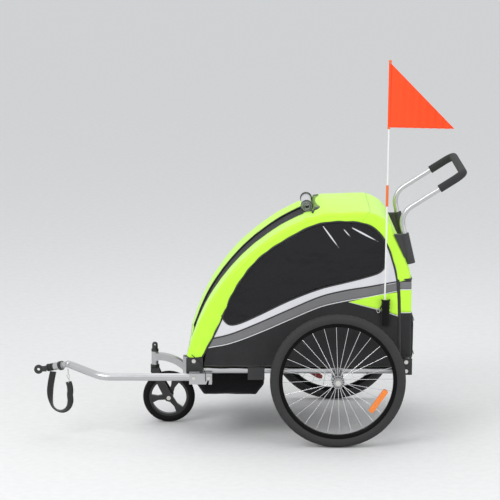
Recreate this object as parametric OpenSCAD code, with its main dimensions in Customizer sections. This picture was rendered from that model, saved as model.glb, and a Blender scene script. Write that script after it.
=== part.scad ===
// Two-seat child bicycle trailer with a front caster wheel and a push handle.
// X runs from the tow hitch (-X) to the push handle (+X), Y across the trailer, Z up from the ground.

/* [Wheels] */
// Radius of a main wheel over its tyre
wheel_r = 250; // [240:1:255]
// Distance between the middle planes of the two main wheels
track = 780; // [770:5:800]
// Number of spokes in a main wheel
spoke_count = 28; // [20:2:36]
// Radius of the caster wheel over its tyre
caster_r = 100; // [90:1:100]

/* [Frame] */
// Distance between the axes of the two side rails
rail_span = 610; // [600:1:616]
// Outer diameter of a side rail
rail_d = 25; // [22:1:25]
// Outer diameter of a cabin hoop
hoop_d = 22; // [18:1:22]
// Wall thickness of the aluminium tubes
tube_wall = 1.6; // [1:0.1:3]
// Inward lean of the cabin sides, in degrees
side_lean = 6; // [4:0.5:6]

/* [Cabin] */
// Height of the roof above the ground
roof_z = 855; // [850:1:858]
// Thickness of a fabric panel
cloth_t = 3; // [2:0.5:3]
// Width of the mesh strip in the front cover
mesh_w = 200; // [120:10:260]

/* [Handle, tow arm and flag] */
// Outer diameter of the push handle tube
handle_d = 20; // [18:1:20]
// Distance between the two arms of the push handle
handle_w = 524; // [510:2:530]
// Outer diameter of the tow arm tube
tow_d = 28; // [24:1:28]
// Radius of the hole that the bicycle's rear axle goes through
hitch_hole_r = 5.5; // [5:0.25:6]
// Height of the flag's tip above the ground
flag_top_z = 1424; // [1200:1:1440]

/* [Hidden] */
$fn = 48;

// All places below are measured from a point on the ground under the main axle.
hitch_reach = 1138;                           // how far the hitch eye reaches in front of the axle
handle_reach = 477;                           // how far the handle grip reaches behind it
axle_x = (hitch_reach - handle_reach) / 2;    // puts the origin at the middle of the whole length
gap = 0.3;                                    // space between pieces that only lie against each other
run = 0.05;                                   // radial running clearance

tube_sides = 20;
bend_step = 6;                                // largest turn between two rings of a bent tube, in degrees
rail_r = rail_d / 2;
rail_y = rail_span / 2;
rail_z = 272;
rail_front_x = -556;
rail_rear_x = 272;
front_bar_x = -540;
rear_bar_x = 258;
crossbar_r = 11;

hoop_r = hoop_d / 2;
hoop_y = rail_y;
hoop_foot_z = rail_z + rail_r + 1.5;
hoop_inset = 15;                              // cloth surface to tube axis

arch_c = [175, 135];                          // centre of the arch over the front of the cabin
arch_r = 755;
back_x = 272;                                 // flat back of the cabin
back_normal = 24;                             // slope of the upper back
back_c = [-42, 564];                          // centre of the bend between the upper and the flat back
back_r = back_x - back_c[0];
crown_r = 114;                                // bend between the roof and the upper back
crown_c = [98, roof_z - crown_r];
canopy_front_z = 322;                         // hem of the green cover at the front
canopy_rear_z = 612;                          // and at the back
panel_foot_z = rail_z + rail_r + 1.5;
panel_y = hoop_y + hoop_r + 1.2;              // inner face of a side panel at rail height
mesh_top_x = -92;
mesh_foot_z = 356;

axle_r = 6;
beam_r = 9.4;
beam_end_y = rail_y + 40;
wheel_y = track / 2;
tyre_r = 20;                                  // radius of the tyre's section
rim_edge_r = wheel_r - 31;
rim_inner_r = wheel_r - 47;
hub_half = 28;
hub_r = 16;
flange_r = 24;
flange_y = 20;
spoke_r = 1;
reflector_r = 165;                            // hub to the reflector's middle

kingpin_x = -692;
kingpin_r = 8;
caster_x = -639;
caster_half = 20;
caster_axle_r = 5;
head_foot_z = 226;
head_top_z = 277;
arm_bend_r = 152;
arm_h = 24;
arm_w = 36;

tow_r = tow_d / 2;
bracket_t = 3;                                // thickness of the bracket's plates
tow_slot = tow_r + 0.6;                       // half the space between them
corner_face = rail_y + rail_r + 3.1;          // outer face of a corner bracket
tow_y = -corner_face - 0.1 - bracket_t - tow_slot;
tow_z = 252;
tow_pivot_x = -531;
lock_pin_x = -476;
lock_pin_r = 3.5;
tow_bend_x = -872;                            // where the straight part's axis meets the bent part's
tow_bend_r = 90;
tow_bend = 37;                                // turn of the bend
tow_rise = 16;                                // tilt of the bend's plane from the horizontal
tow_nose = 150;                               // length of the bent part
tow_nose_dir = [-cos(tow_bend), sin(tow_bend) * cos(tow_rise), sin(tow_bend) * sin(tow_rise)];
tow_end = [tow_bend_x, tow_y, tow_z] + tow_nose * tow_nose_dir;
ball_r = 13.5;
ball_c = tow_end + 14 * tow_nose_dir;
hitch_yaw = 25;                               // the coupler's heading from straight ahead
hitch_drop = 14;                              // and how far it hangs from the horizontal
coupler_dir = [-cos(hitch_drop) * cos(hitch_yaw), cos(hitch_drop) * sin(hitch_yaw), -sin(hitch_drop)];
coupler_len = 62;
rubber_len = 30;
eye_dist = 134;                               // ball to the middle of the axle hole
eye_c = ball_c + eye_dist * coupler_dir;
eye_t = 7;
strap_w = 25;                                 // width of the safety strap's webbing
strap_t = 3;
strap_c = ball_c + 38 * coupler_dir;          // the strap swings about this point

sleeve_foot = [271, 668];                     // foot of the sleeve's axis, in X and Z
sleeve_lean = 13;                             // its lean towards the front
sleeve_len = 114;
sleeve_bore_r = handle_d / 2 + 0.08;
sleeve_r = 16;
handle_rise = 32.5;                           // slope of the handle's upper part
handle_knee = 190;                            // sleeve foot to the bend's corner
handle_knee_r = 70;
handle_corner_r = 42;
handle_end_x = 461;                           // axis of the handle's cross part
grip_r = 15;

pole_r = 3;
pole_y = -310;
pole_x = 172;
pole_foot_z = 455;
pole_lean = 0.75;
flag_h = 236;
flag_w = 236;

// ---------- functions ----------
function unit(v) = v / norm(v);
function arc(c, r, a0, a1, n) = [for (i = [0:n]) let (a = a0 + (a1 - a0) * i / n) c + r * [cos(a), sin(a)]];
function bezier(a, b, c, d, n) =
    [for (i = [0:n]) let (t = i / n, s = 1 - t) s^3 * a + 3 * s^2 * t * b + 3 * s * t^2 * c + t^3 * d];
function reversed(list) = [for (i = [len(list) - 1:-1:0]) list[i]];
function flat(v, axis) = unit(v - (v * axis) * axis);

// A polyline in space with each corner rounded to its radius.
function rounded_corner(p, q, s, r) =
    let (u = unit(q - p), w = unit(s - q), bend = acos(u * w), v = flat(w, u), n = ceil(bend / bend_step))
    [for (k = [0:n]) let (a = bend * k / n) q - r * tan(bend / 2) * u + r * (sin(a) * u + (1 - cos(a)) * v)];
function rounded(pts, radii) = [for (i = [0:len(pts) - 1])
    each (i == 0 || i == len(pts) - 1 ? [pts[i]] : rounded_corner(pts[i - 1], pts[i], pts[i + 1], radii[i]))];
function headings(path) =
    [for (i = [0:len(path) - 1]) unit(path[min(i + 1, len(path) - 1)] - path[max(i - 1, 0)])];
function in_xz(pts) = [for (p = pts) [p[0], 0, p[1]]];
function side_y(z) = panel_y - (z - rail_z) * tan(side_lean);   // inner face of a side panel at height z

// Outline of the cabin seen from the side, at a distance inside the cloth, from the front hem to the back hem.
function arch_angle_at(z, inset) = 180 - asin((z - arch_c[1]) / (arch_r - inset));
function cabin_outline(inset, front_z, rear_z) = concat(
    arc(arch_c, arch_r - inset, arch_angle_at(front_z, inset), arch_angle_at(roof_z - inset, inset), 18),
    arc(crown_c, crown_r - inset, 90, back_normal, 8),
    arc(back_c, back_r - inset, back_normal, max(0, asin(min(1, (rear_z - back_c[1]) / (back_r - inset)))), 5),
    rear_z < back_c[1] ? [[back_x - inset, rear_z]] : []);

// Axis of a cabin hoop, with the bend radius at each corner.
hoop_axis = [[-541, hoop_foot_z], [-539, 300], [-450, 704], [-36, roof_z - hoop_inset],
             [163, roof_z - hoop_inset], [256, 628], [256, hoop_foot_z]];
hoop_bends = [0, 20, arch_r - 35, 120, 100, 300, 0];

// Window in a side panel: front edge, sill, rear edge and top edge.
window_sill = bezier([-391, 441], [-250, 470], [-60, 590], [150, 632], 14);
window_back = bezier([166, 640], [182, 668], [182, 800], [88, 821], 8);
window_top = [[26, 824], [-62, 820]];
window_front = bezier([-66, 818], [-230, 745], [-355, 625], [-426, 474], 12);
window_outline = concat(window_sill, window_back, window_top, window_front, [[-422, 456], [-408, 444]]);

// ---------- helper modules ----------
module at_axle() { translate([axle_x, 0, 0]) children(); }

module upright() { rotate([90, 0, 0]) children(); }             // turns a drawing in X and Y into X and Z

module rod(p, q, r) {
    d = q - p;
    translate(p) rotate([0, acos(d[2] / norm(d)), atan2(d[1], d[0])]) cylinder(r = r, h = norm(d));
}

module cross_rod(x, z, half, r) { translate([x, half, z]) rotate([90, 0, 0]) cylinder(r = r, h = 2 * half); }

// A round tube along a path in space, or a bar where the wall is left out. start is square to the path's first stretch.
module tube_along(path, r, start, wall = 0, sides = tube_sides) {
    last = len(path) - 1;
    along = headings(path);
    out = [for (i = 0, n = flat(start, along[0]); i <= last; i = i + 1, n = flat(n, along[min(i, last)])) n];
    ring = function(i, rad) [for (k = [0:sides - 1])
        path[i] + rad * (cos(360 * k / sides) * out[i] + sin(360 * k / sides) * cross(along[i], out[i]))];
    outer = function(i, k) i * sides + k % sides;
    inner = function(i, k) outer(i, k) + (last + 1) * sides;
    quad = function(a, b, c, d) [[a, b, c], [a, c, d]];
    skin = [for (i = [0:last - 1], k = [0:sides - 1])
        each quad(outer(i, k), outer(i + 1, k), outer(i + 1, k + 1), outer(i, k + 1))];
    bore = [for (i = [0:last - 1], k = [0:sides - 1])
        each quad(inner(i, k), inner(i, k + 1), inner(i + 1, k + 1), inner(i + 1, k))];
    rims = [for (k = [0:sides - 1]) each concat(
        quad(outer(0, k), outer(0, k + 1), inner(0, k + 1), inner(0, k)),
        quad(outer(last, k + 1), outer(last, k), inner(last, k), inner(last, k + 1)))];
    caps = [[for (k = [0:sides - 1]) outer(0, k)], [for (k = [sides - 1:-1:0]) outer(last, k)]];
    if (wall > 0)
        polyhedron([for (rad = [r, r - wall], i = [0:last]) each ring(i, rad)], concat(skin, bore, rims), convexity = 10);
    else
        polyhedron([for (i = [0:last]) each ring(i, r)], concat(skin, caps), convexity = 10);
}

module round_tube(length, r) {
    difference() {
        cylinder(r = r, h = length);
        translate([0, 0, -1]) cylinder(r = r - tube_wall, h = length + 2);
    }
}

// A plate in the leaning plane of the left side, t thick outwards, from a drawing in X and Z.
module left_side_plate(t, out = 0) {
    translate([0, -panel_y - out, rail_z]) rotate([-side_lean, 0, 0]) translate([0, 0, -rail_z])
        upright() linear_extrude(t) children();
}

// The space between the two side panels.
module between_sides(clear) {
    low = 250;
    high = 900;
    translate([-700, 0, 0]) rotate([90, 0, 90]) linear_extrude(1100)
        polygon([[-side_y(low) + clear, low], [side_y(low) - clear, low],
                 [side_y(high) - clear, high], [-side_y(high) + clear, high]]);
}

module cloth_band(inner, outer, front_z, rear_z, half) {
    translate([0, half, 0]) upright() linear_extrude(2 * half)
        polygon(concat(cabin_outline(outer, front_z, rear_z), reversed(cabin_outline(inner, front_z, rear_z))));
}

// ---------- floor frame ----------
module side_rail(side) {
    color("silver") at_axle() translate([rail_front_x, side * rail_y, rail_z]) rotate([0, 90, 0])
        round_tube(rail_rear_x - rail_front_x, rail_r);
}
module left_side_rail() { side_rail(-1); }
module right_side_rail() { side_rail(1); }

module floor_crossbars() {
    half = rail_y - 16;
    color("silver") at_axle()
        for (x = [front_bar_x, rear_bar_x])
            translate([x, half, rail_z]) rotate([90, 0, 0]) round_tube(2 * half, crossbar_r);
}

// Cross tube that takes the two stub axles, with a plate against each face of each rail.
module axle_beam() {
    plate_t = 4;
    color("silver") at_axle() difference() {
        union() {
            cross_rod(0, wheel_r, beam_end_y, beam_r);
            for (s = [-1, 1], f = [rail_y + rail_r + 0.1, rail_y - rail_r - 0.1 - plate_t])
                translate([-21, s > 0 ? f : -f - plate_t, wheel_r - 12]) cube([42, plate_t, 46]);
        }
        for (s = [-1, 1])
            translate([0, s * (beam_end_y + 1), wheel_r]) rotate([90 * s, 0, 0]) cylinder(r = axle_r + run, h = 60);
    }
}

// Pressed channel that joins a rail, a hoop foot and a crossbar at each corner of the floor.
module corner_bracket(x, dir, side) {
    inner = rail_r + 0.1;
    wall = 3;
    length = 62;
    top = canopy_front_z - 2;
    foot = rail_z - 14;
    translate([x, side * rail_y, foot]) scale([dir, side, 1]) {
        translate([0, inner, 0]) cube([length, wall, top - foot]);
        translate([0, -inner - wall, 0]) cube([length, wall, rail_r + 12]);
        translate([0, -inner - wall, 0]) cube([wall, 2 * (inner + wall), rail_r + 12]);
    }
}
module corner_brackets() {
    color("gainsboro") at_axle()
        for (side = [-1, 1]) {
            corner_bracket(rail_front_x - 4, 1, side);
            corner_bracket(rail_rear_x + 4, -1, side);
        }
}

module bolt_head(x, y, z, side, r) {
    translate([x, y, z]) rotate([side > 0 ? -90 : 90, 0, 0]) {
        cylinder(r = r + 1.5, h = 1);
        translate([0, 0, 1]) cylinder(r = r, h = 2.2, $fn = 6);
    }
}
module frame_bolts() {
    color("whitesmoke") at_axle()
        for (s = [-1, 1]) {
            bolt_head(front_bar_x + 8, s * corner_face, 308, s, 6);
            for (z = [rail_z, 306])
                bolt_head(rear_bar_x - 4, s * corner_face, z, s, 6);
            for (x = [-13, 13])
                bolt_head(x, s * (corner_face + 1.1), rail_z + 1, s, 4.5);
        }
}

// ---------- cabin frame ----------
module left_hoop() {
    color("silver") at_axle() translate([0, -hoop_y, rail_z]) rotate([-side_lean, 0, 0]) translate([0, 0, -rail_z])
        tube_along(rounded(in_xz(hoop_axis), hoop_bends), hoop_r, [0, 1, 0], tube_wall);
}
module right_hoop() { mirror([0, 1, 0]) left_hoop(); }

module roof_crossbar() {
    half = side_y(820) - 2 * hoop_r - 3;
    color("silver") at_axle() translate([-100, half, 822]) rotate([90, 0, 0]) round_tube(2 * half, 8);
}

module rear_top_crossbar() {
    half = side_y(748) - 2 * hoop_r - 3;
    color("silver") at_axle() translate([203, half, 748]) rotate([90, 0, 0]) round_tube(2 * half, 9);
}

// Sleeve that each arm of the push handle slides in, with a wedge that seats it on the cabin's back.
module handle_sleeves() {
    slope = back_c + back_r * [cos(back_normal), sin(back_normal)];
    low = 690;
    high = 776;
    cloth_x = function(z) slope[0] - (z - slope[1]) * tan(back_normal) + 0.6;
    axis_x = function(z) sleeve_foot[0] - (z - sleeve_foot[1]) * tan(sleeve_lean);
    color("dimgray") at_axle()
        for (s = [-1, 1])
            translate([0, s * handle_w / 2, 0]) difference() {
                union() {
                    sleeve_axis() cylinder(r = sleeve_r, h = sleeve_len);
                    translate([0, 11, 0]) upright() linear_extrude(22)
                        polygon([[cloth_x(low), low], [axis_x(low), low], [axis_x(high), high], [cloth_x(high), high]]);
                }
                sleeve_axis() translate([0, 0, -1]) cylinder(r = sleeve_bore_r, h = sleeve_len + 2);
            }
}
module sleeve_axis() { translate([sleeve_foot[0], 0, sleeve_foot[1]]) rotate([0, -sleeve_lean, 0]) children(); }

// ---------- tow bracket, bolt and tether ----------
module cross_hole(x, z, r) { translate([x, tow_y + 40, z]) rotate([90, 0, 0]) cylinder(r = r, h = 80); }

// Two plates beside the tow arm. The lock pin leaves them downwards through a curved slot as the arm folds.
module tow_bracket() {
    front = -548;
    back = -464;
    foot = 228;
    top = 269;
    pin_reach = lock_pin_x - tow_pivot_x;
    color("gainsboro") at_axle() difference() {
        union() {
            for (y = [tow_y - tow_slot - bracket_t, tow_y + tow_slot])
                translate([front, y, foot]) cube([back - front, bracket_t, top - foot]);
            translate([tow_pivot_x + 22, tow_y - tow_slot, top - 2])
                cube([back - tow_pivot_x - 22, 2 * tow_slot, 2]);
        }
        cross_hole(tow_pivot_x, tow_z, 4);
        cross_hole(lock_pin_x, tow_z, lock_pin_r + 0.6);
        translate([tow_pivot_x, tow_y + 40, tow_z]) upright() linear_extrude(80) intersection() {
            difference() {
                circle(pin_reach + lock_pin_r + 0.6);
                circle(pin_reach - lock_pin_r - 0.6);
            }
            translate([0, -80]) square(80);
        }
    }
}

module tow_pivot_bolt() {
    inner = -corner_face - 0.2;
    outer = tow_y - tow_slot - bracket_t;
    color("whitesmoke") at_axle() translate([tow_pivot_x, inner, tow_z]) rotate([90, 0, 0]) {
        cylinder(r = 4, h = inner - outer + 5);
        translate([0, 0, inner - outer]) cylinder(r = 7, h = 5, $fn = 6);
    }
}

// Cord from the corner of the cabin to the lock pin's clip.
module pin_tether() {
    side = -corner_face - 1.7;
    outside = tow_y - tow_slot - bracket_t - 2.6;
    route = [[-540, side + 5, 332], [-530, side, 324], [-512, side, 308], [-500, side - 2, 290],
             [-491, outside + 2, 276], [-488, outside, 271], [-487, outside, 240]];
    color("black") at_axle() tube_along(route, 1.3, [0, 1, 0], sides = 8);
}

// ---------- caster: bracket and curved arm ----------
module caster_bracket() {
    color("silver") at_axle() difference() {
        union() {
            translate([front_bar_x - 16, -24, 248]) cube([32, 48, 18]);
            for (y = [-22.2, 18.2]) translate([-584, y, 196]) cube([56, 4, 62]);
            cross_rod(-570, 209.8, 27, 4);
        }
        cross_rod(front_bar_x, rail_z, 30, crossbar_r + 0.05);
    }
}

module caster_arm() {
    sweep = 46.4;
    color("gainsboro") at_axle() difference() {
        union() {
            translate([kingpin_x, 0, head_foot_z]) cylinder(r = 13.5, h = head_top_z - head_foot_z);
            translate([-680, arm_w / 2, 257 - arm_bend_r]) upright() rotate([0, 0, 90 - sweep])
                rotate_extrude(angle = sweep) translate([arm_bend_r, arm_w / 2]) square([arm_h, arm_w], center = true);
            translate([kingpin_x, -arm_w / 2 - 1, 243]) cube([14, arm_w + 2, arm_h + 4]);
            cross_rod(-570, 209.8, arm_w / 2 - 0.5, arm_h / 2 + 2);
        }
        translate([kingpin_x, 0, head_foot_z - 1]) cylinder(r = kingpin_r + run, h = 60);
        cross_rod(-570, 209.8, 30, 4.05);
    }
}

// ---------- caster: fork and wheel ----------
module caster_fork() {
    leg = [[-706, 216], [-680, 216], [-660, 170], [-622, 106], [-624, 92], [-636, 84], [-650, 88], [-686, 160], [-708, 204]];
    color("#262626") at_axle() difference() {
        union() {
            for (y = [-24.5, 30.5]) translate([0, y, 0]) upright() linear_extrude(6) polygon(leg);
            translate([kingpin_x - 15, -30.5, 204]) cube([28, 61, 12]);
            translate([kingpin_x, 0, 210]) cylinder(r = 17, h = head_foot_z - 0.4 - 210);
        }
        cross_rod(caster_x, caster_r, 40, caster_axle_r);
    }
}

module caster_kingpin() {
    color("black") at_axle() translate([kingpin_x, 0, 0]) difference() {
        union() {
            translate([0, 0, head_foot_z - 0.4]) cylinder(r = kingpin_r, h = 60);
            translate([0, 0, head_top_z + 0.4]) cylinder(r = 14, h = 9);
            translate([0, 0, head_top_z + 9]) cylinder(r = 11, h = 17);
            translate([0, 0, head_top_z + 26]) sphere(r = 11);
        }
        translate([0, 20, head_top_z + 25]) rotate([90, 0, 0]) cylinder(r = 4, h = 40);
    }
}

module caster_axle() {
    color("silver") at_axle() {
        cross_rod(caster_x, caster_r, 34, caster_axle_r);
        for (y = [-30.5, 34.5]) translate([caster_x, y, caster_r]) rotate([90, 0, 0]) cylinder(r = 8, h = 4);
    }
}

module caster_rim() {
    ring_r = caster_r - 24;
    spoke = [[8, -11], [42, -8], [ring_r - 4, -17], [ring_r - 4, 17], [42, 8], [8, 11]];
    color("#202020") at_axle() translate([caster_x, 0, caster_r]) rotate([90, 0, 0]) difference() {
        union() {
            translate([0, 0, -caster_half]) cylinder(r = 16, h = 2 * caster_half);
            rotate_extrude() translate([ring_r - 9, -12]) square([9, 24]);
            for (a = [-52, 68, 188]) rotate([0, 0, a]) translate([0, 0, -9]) linear_extrude(18) polygon(spoke);
        }
        translate([0, 0, -30]) cylinder(r = caster_axle_r + run, h = 60);
    }
}

module caster_tyre() {
    color("#303030") at_axle() translate([caster_x, 0, caster_r]) rotate([90, 0, 0]) rotate_extrude() difference() {
        translate([caster_r - 16, 0]) circle(16);
        translate([0, -20]) square([caster_r - 24, 40]);
    }
}

// ---------- floor, footwell and seat ----------
module floor_panel() {
    half = rail_y - rail_r - 5;
    color("#303030") at_axle() translate([-262, -half, 260.5]) cube([502, 2 * half, 3]);
}

// Tub for the children's feet, hung from a flange at rail height.
module footwell() {
    half = 246;
    t = 3;
    flange = rail_y - rail_r - 5;
    tub = [[-524, 263], [-518, 203], [-494, 168], [-302, 168], [-277, 200], [-272, 263]];
    inside = [[-521, 264], [-515, 204], [-492.5, 171], [-303.5, 171], [-280, 201], [-275, 264]];
    color("#262626") at_axle() {
        difference() {
            translate([0, half, 0]) upright() linear_extrude(2 * half) polygon(tub);
            translate([0, half - t, 0]) upright() linear_extrude(2 * (half - t)) polygon(inside);
        }
        for (s = [-1, 1]) translate([-510, s > 0 ? half - 0.1 : -flange, 260.5])
            cube([235, flange - half + 0.1, 2.5]);
    }
}

module footwell_straps() {
    color("#202020") at_axle()
        for (s = [-1, 1]) translate([-332, s * rail_y - 16, 238]) difference() {
            cube([62, 32, panel_foot_z - 0.5 - 238]);
            translate([-1, 16, rail_z - 238]) rotate([0, 90, 0]) cylinder(r = rail_r + 0.05, h = 64);
        }
}

seat_face = [[150, 342], [191, 700]];         // front of the seat back, foot and top
module seat_base() {
    color("#2b2b2b") at_axle() translate([0, 262, 0]) upright() linear_extrude(524)
        polygon([[-170, 264.5], [-180, 282], [-168, 335], [-150, 342], [120, 326], [146, 326], [152, 264.5]]);
}
module seat_back() {
    depth = 34;
    color("#2b2b2b") at_axle() translate([0, 235, 0]) upright() linear_extrude(470)
        polygon([seat_face[0], seat_face[0] + [depth + 6, 0], seat_face[1] + [depth, 0], seat_face[1] + [12, 8], seat_face[1]]);
}

// Shoulder straps and chest pads for two children.
module harness() {
    along = unit(seat_face[1] - seat_face[0]);
    out = [-along[1], along[0]];
    place = function(s, d) seat_face[0] + s * along + d * out;
    color("#1c1c1c") at_axle()
        for (child = [-122, 122], s = [-1, 1]) {
            translate([0, child + s * 42 + 15, 0]) upright() linear_extrude(30)
                polygon([place(30, 0.4), place(310, 0.4), place(310, 3.4), place(30, 3.4)]);
            translate([0, child + s * 42 + 22, 0]) upright() linear_extrude(44)
                polygon([place(190, 3.5), place(290, 3.5), place(285, 13), place(195, 13)]);
        }
}

// ---------- cabin fabric ----------
module canopy_cover() {
    color("greenyellow") at_axle() difference() {
        intersection() {
            cloth_band(cloth_t, 0, canopy_front_z, canopy_rear_z, 400);
            between_sides(gap);
        }
        translate([-700, -mesh_w / 2, mesh_foot_z]) cube([700 + mesh_top_x, mesh_w, 600]);
    }
}

module front_mesh() {
    inner = cloth_t + 3.5;
    color("#161616") at_axle() intersection() {
        cloth_band(inner, inner - 3, canopy_front_z, canopy_rear_z, mesh_w / 2 + 14);
        translate([-700, -400, mesh_foot_z - 14]) cube([700 + mesh_top_x + 12, 800, 600]);
    }
}

// A cabin side with its window opening and a notch at each corner bracket.
module left_side_panel() {
    color("#333333") at_axle() left_side_plate(cloth_t) difference() {
        polygon(concat(cabin_outline(0.6, canopy_front_z, panel_foot_z), [[-536, panel_foot_z]]));
        polygon(window_outline);
        for (x = [-600, 212]) translate([x, 200]) square([x < 0 ? 106 : 100, canopy_front_z - 200]);
    }
}
module right_side_panel() { mirror([0, 1, 0]) left_side_panel(); }

// Clear sheet that fills the window opening.
module left_window() {
    color("#8a929a", 0.45) at_axle() left_side_plate(1, 1) offset(delta = -0.3) polygon(window_outline);
}
module right_window() { mirror([0, 1, 0]) left_window(); }

module rear_panel() {
    color("greenyellow") at_axle() intersection() {
        translate([back_x - cloth_t, -400, 486]) cube([cloth_t, 800, canopy_rear_z - 486.3]);
        between_sides(gap);
    }
}

module rear_bag() {
    color("#2b2b2b") at_axle() translate([0, 266, 0]) upright() linear_extrude(532)
        polygon([[236, 290], [268, 289], [275, 310], [276, 440], [272, 478], [238, 480]]);
}

roll_r = 21;
roll_x = -113;
roll_z = arch_c[1] + sqrt((arch_r + roll_r + 0.5)^2 - (roll_x - arch_c[0])^2);
module rain_cover_roll() { color("#9a9a9a") at_axle() cross_rod(roll_x, roll_z, 118, roll_r); }

// Pocket on the left side that takes the flag pole's foot.
module flag_pocket() {
    low = 445;
    high = 539;
    near = pole_y - 6;
    skin = function(z) -side_y(z) - cloth_t / cos(side_lean) - 0.3;
    color("black") at_axle() difference() {
        translate([162, 0, 0]) rotate([90, 0, 90]) linear_extrude(30)
            polygon([[skin(low), low], [skin(high), high], [near, high], [near, low]]);
        pole_axis() translate([0, 0, -gap]) cylinder(r = pole_r + 0.06, h = 200);
    }
}

// ---------- flag ----------
module pole_axis() { translate([pole_x, pole_y, pole_foot_z]) rotate([0, pole_lean, 0]) children(); }

module flag_pole() {
    color("white") at_axle() pole_axis() cylinder(r = pole_r, h = flag_top_z - 6 - pole_foot_z);
}

// Joint sleeve in the middle of the pole, the flag's stop collar and the ball at the tip.
module flag_fittings() {
    top = flag_top_z - pole_foot_z;
    color("orangered") at_axle() pole_axis() difference() {
        union() {
            translate([0, 0, 432]) cylinder(r = 5, h = 78);
            translate([0, 0, top - flag_h - 16]) cylinder(r = 5, h = 8);
            translate([0, 0, top - 6]) sphere(r = 6);
        }
        translate([0, 0, 10]) cylinder(r = pole_r, h = top - 16);
    }
}

module flag() {
    top = flag_top_z - pole_foot_z - 12;
    color("orangered") at_axle() pole_axis() difference() {
        union() {
            translate([0, 0.8, 0]) upright() linear_extrude(1.6)
                polygon([[2, top], [flag_w, top - flag_h], [2, top - flag_h + 8]]);
            translate([0, 0, top - flag_h + 8]) cylinder(r = pole_r + 1.4, h = flag_h - 8);
        }
        translate([0, 0, -1]) cylinder(r = pole_r + 0.02, h = top + 20);
    }
}

// ---------- main wheels ----------
module wheel_axles() {
    color("silver") at_axle()
        for (s = [-1, 1]) scale([1, s, 1]) {
            translate([0, wheel_y + hub_half + 7, wheel_r]) rotate([90, 0, 0])
                cylinder(r = axle_r, h = wheel_y + hub_half + 7 - beam_end_y + 50);
            translate([0, wheel_y - hub_half - 0.5, wheel_r]) rotate([90, 0, 0])
                cylinder(r = 9, h = wheel_y - hub_half - 0.5 - beam_end_y - 0.1);
            translate([0, wheel_y + hub_half + 7, wheel_r]) rotate([90, 0, 0]) cylinder(r = 10, h = 6.5);
        }
}

// Puts a drawing of a wheel, lying flat with its outboard side up, on its hub.
module on_wheel(side) {
    at_axle() translate([0, side * wheel_y, wheel_r]) scale([1, side, 1]) rotate([-90, 0, 0]) children();
}

module tyre(side) {
    color("#3c3c3c") on_wheel(side) rotate_extrude($fn = 96) difference() {
        translate([wheel_r - tyre_r, 0]) circle(tyre_r);
        translate([0, -30]) square([rim_edge_r, 60]);
    }
}

module rim(side) {
    color("#1c1c1c") on_wheel(side) rotate_extrude($fn = 96)
        polygon([[rim_inner_r, -7], [rim_inner_r, 7], [rim_inner_r + 5, 11], [rim_edge_r, 13],
                 [rim_edge_r, -13], [rim_inner_r + 5, -11]]);
}

// Straight spokes from the two hub flanges in turn to the middle of the rim.
module spokes(side) {
    color("silver") on_wheel(side)
        for (i = [0:spoke_count - 1]) {
            a = 88 + i * 360 / spoke_count;
            h = i % 2 == 0 ? flange_y : -flange_y;
            rod([flange_r * cos(a), flange_r * sin(a), h], [rim_inner_r * cos(a), rim_inner_r * sin(a), h / 8], spoke_r);
        }
}

module hub(side) {
    color("silver") on_wheel(side) difference() {
        union() {
            translate([0, 0, -hub_half]) cylinder(r = 13, h = 2 * hub_half);
            for (h = [-flange_y, flange_y]) translate([0, 0, h - 1.5]) cylinder(r = flange_r, h = 3);
            translate([0, 0, flange_y]) cylinder(r = hub_r, h = hub_half - flange_y);
        }
        translate([0, 0, -hub_half - 1]) cylinder(r = axle_r + run, h = 2 * hub_half + 2);
    }
}

// Amber reflector clipped across the outboard spokes.
module reflector(side, a) {
    color("orange") on_wheel(side) rotate([0, 0, a]) translate([reflector_r - 11, -52, 8.6]) cube([22, 104, 7]);
}

module left_tyre() { tyre(-1); }
module left_rim() { rim(-1); }
module left_spokes() { spokes(-1); }
module left_hub() { hub(-1); }
module left_reflector() { reflector(-1, 26); }
module right_tyre() { tyre(1); }
module right_rim() { rim(1); }
module right_spokes() { spokes(1); }
module right_hub() { hub(1); }
module right_reflector() { reflector(1, 121); }

// ---------- tow arm and hitch ----------
module tow_tube() {
    tail = lock_pin_x + 8;
    color("silver") at_axle() difference() {
        tube_along(rounded([[tail, tow_y, tow_z], [tow_bend_x, tow_y, tow_z], tow_end], [0, tow_bend_r, 0]),
                   tow_r, [0, 0, 1], tube_wall);
        cross_hole(tow_pivot_x, tow_z, 4 + run);
        cross_hole(lock_pin_x, tow_z, lock_pin_r);
    }
}

module tow_lock_pin() {
    outer = tow_y - tow_slot - bracket_t - 0.6;
    inner = -rail_y - rail_r - 1.2;
    color("dimgray") at_axle() translate([lock_pin_x, inner, tow_z]) rotate([90, 0, 0]) {
        cylinder(r = lock_pin_r, h = inner - outer + 3);
        translate([0, 0, inner - outer]) cylinder(r = 6, h = 3);
    }
}

// Ball and steel coupler at the end of the tow arm, with two cross bolts.
module hitch_coupler() {
    color("gainsboro") at_axle() {
        translate(ball_c) sphere(r = ball_r);
        rod(ball_c, ball_c + coupler_len * coupler_dir, 11);
        rod(ball_c + 24 * coupler_dir, ball_c + (coupler_len - 0.05) * coupler_dir, 14.5);
    }
}

module hitch_rubber() {
    color("#1a1a1a") at_axle()
        for (i = [0:4]) {
            start = ball_c + (coupler_len + i * rubber_len / 5) * coupler_dir;
            rod(start, start + rubber_len / 5 * coupler_dir, i % 2 == 0 ? 14 : 11);
        }
}

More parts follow.
